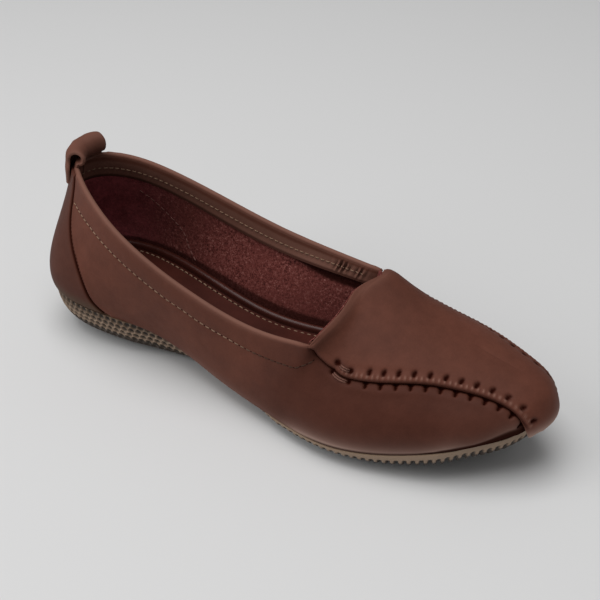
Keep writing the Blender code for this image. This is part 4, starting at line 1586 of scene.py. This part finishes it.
def leather():
    """Matte oiled leather, cloudy: painted highlight on partly rubbed edges, painted reflection at its
    foot, painted shade in seams and holes.
    """
    made = new_material("brown_leather_skin")
    clouds = mottled(made, (26.0, 3.0), LEATHER, ((0.30, 0.84), (0.50, 1.0), (0.72, 1.18)))
    stops = ((0.30, (0.88, 0.87, 0.86)), (0.70, (1.09, 1.10, 1.10)))
    grained = mixed(made, 1.0, clouds, ramp(made, noise(made, 210.0, 6.0, 0.8), stops), "MULTIPLY")
    colour = tinted(made, grained, edge=LEATHER_EDGE, worn=LEATHER_REFLECTED, dust=LEATHER_FOOT_TAN,
                    dark=LEATHER_DARK)
    gloss = ramp(made, field(made, "dark"), ((0.35, (0.12, 0.12, 0.12)), (0.80, (0.0, 0.0, 0.0))))
    layers = ((noise(made, 160.0, 3.0), 0.35, 0.0006), (noise(made, 1500.0, 3.0, 0.6), 0.30, 0.0002))
    return dressed(made, colour, 0.62, gloss, layers)


def suede():
    """Napped lining with a light speckle."""
    made = new_material("oxblood_suede")
    stops = [(place, tone(SUEDE, share)) for place, share in ((0.38, 0.15), (0.48, 0.90), (0.56, 1.35))]
    nap = ramp(made, noise(made, 700.0, 4.0, 1.0), [*stops, (0.66, SUEDE_FLECK)])
    worn = ramp(made, noise(made, 55.0, 4.0, 0.6), ((0.38, (0.0, 0.0, 0.0)), (0.66, (0.6, 0.6, 0.6))))
    # Round the heel the suede is smoother and painted lighter, as painted light in its shade.
    smooth = mottled(made, (150.0, 8.0, 0.8), SUEDE_BACK_LIGHTENED, ((0.36, 0.55), (0.64, 1.35)))
    colour = tinted(made, mixed(made, worn, nap, tone(SUEDE, 0.95)), back=smooth, dark=LEATHER_DARK)
    return dressed(made, colour, 0.9, 0.05, ((noise(made, 620.0, 4.0, 0.7), 0.6, 0.0004),))


def footbed():
    """Smooth satin leather of the insole."""
    made = new_material("oxblood_satin")
    clouds = mottled(made, (70.0, 4.0), FOOTBED, ((0.30, 0.8), (0.70, 1.25)))
    colour = tinted(made, clouds, dark=LEATHER_DARK)
    return dressed(made, colour, 0.34, 0.24, ((noise(made, 700.0, 2.0), 0.25, 0.0002),))


def rubber():
    """Moulded rubber, paler on its faces, and dark in its pits and towards the floor with painted shade."""
    made = new_material("tan_rubber_moulded")
    clouds = mottled(made, (90.0, 4.0, 0.65), RUBBER, ((0.30, 0.78), (0.70, 1.2)))
    colour = tinted(made, clouds, edge=RUBBER_PALE, dark=RUBBER_DARK)
    return dressed(made, colour, 0.62, 0.5, ((noise(made, 800.0, 3.0), 0.3, 0.0002),))


def thread(name, colour):
    made = new_material(name)
    strands = mottled(made, (1600.0, 2.0), colour, ((0.30, 0.7), (0.70, 1.2)))
    return dressed(made, tinted(made, strands, dark=LEATHER_DARK), 0.8, 0.1)


def plain(name, colour, roughness):
    made = new_material(name)
    shader = made.node_tree.nodes["Principled BSDF"]
    shader.inputs["Base Color"].default_value = (*colour, 1.0)
    shader.inputs["Roughness"].default_value = roughness
    return made


def build_shoe():
    skin_finish = leather()
    rubber_finish = rubber()
    light_thread = thread("tan_thread", THREAD)
    gap_shadow = thread("gap_shadow", STITCH_GAP_SHADOW)
    wall = upper(skin_finish)
    sheet = apron_sheet()
    apron(sheet, skin_finish)
    counter(skin_finish)
    pull_loop(skin_finish)
    lining(sheet, suede())
    insole(footbed())
    outsole(rubber_finish)
    studs(rubber_finish)
    collar_stitches(wall, light_thread, gap_shadow)
    facing_stitches(wall, thread("brown_thread", FACING_THREAD))
    lining_stitches(thread("red_thread", LINING_THREAD))
    insole_stitches(light_thread, gap_shadow)
    hand_stitches(thread("dark_thread", HAND_THREAD))


def build_floor():
    mesh = bpy.data.meshes.new("floor")
    corners = FLOOR_HALF * np.array([(-1, -1, 0), (1, -1, 0), (1, 1, 0), (-1, 1, 0)])
    mesh.from_pydata(corners.tolist(), [], [(0, 1, 2, 3)])
    mesh.materials.append(plain("pale_floor", FLOOR, 0.6))
    floor = bpy.data.objects.new("floor", mesh)
    bpy.context.scene.collection.objects.link(floor)


def build_lights():
    scene = bpy.context.scene
    scene.view_settings.view_transform = "Standard"
    scene.world = bpy.data.worlds.new("studio")
    scene.world.use_nodes = True
    sky = scene.world.node_tree.nodes["Background"]
    sky.inputs["Color"].default_value = (*SKY, 1.0)
    sky.inputs["Strength"].default_value = SKY_STRENGTH
    for name, place, size, power in LIGHTS:
        lamp = bpy.data.lights.new(name, "AREA")
        lamp.size = size
        lamp.energy = power
        light = bpy.data.objects.new(name, lamp)
        light.location = place
        light.rotation_euler = (-light.location).to_track_quat("-Z", "Y").to_euler()
        scene.collection.objects.link(light)


def build_camera():
    azimuth = math.radians(CAMERA_AZIMUTH)
    elevation = math.radians(CAMERA_ELEVATION)
    roll = math.radians(CAMERA_ROLL)
    right = np.array([math.cos(azimuth), math.sin(azimuth), 0.0])
    back = np.array([math.sin(azimuth) * math.cos(elevation), -math.cos(azimuth) * math.cos(elevation),
                     math.sin(elevation)])
    up = np.cross(back, right)
    rolled_right = math.cos(roll) * right + math.sin(roll) * up
    rolled_up = math.cos(roll) * up - math.sin(roll) * right
    matrix = np.eye(4)
    matrix[:3, 0] = rolled_right
    matrix[:3, 1] = rolled_up
    matrix[:3, 2] = back
    matrix[:3, 3] = np.array(CAMERA_PLACE) * MM
    lens = bpy.data.cameras.new("camera")
    lens.sensor_width = SENSOR_WIDTH
    lens.lens = SENSOR_WIDTH * FOCAL_PIXELS / FRAME_PIXELS
    lens.clip_start = 0.01
    camera = bpy.data.objects.new("camera", lens)
    camera.matrix_world = Matrix(matrix.tolist())
    bpy.context.scene.collection.objects.link(camera)
    bpy.context.scene.camera = camera


build_shoe()
build_floor()
build_lights()
build_camera()
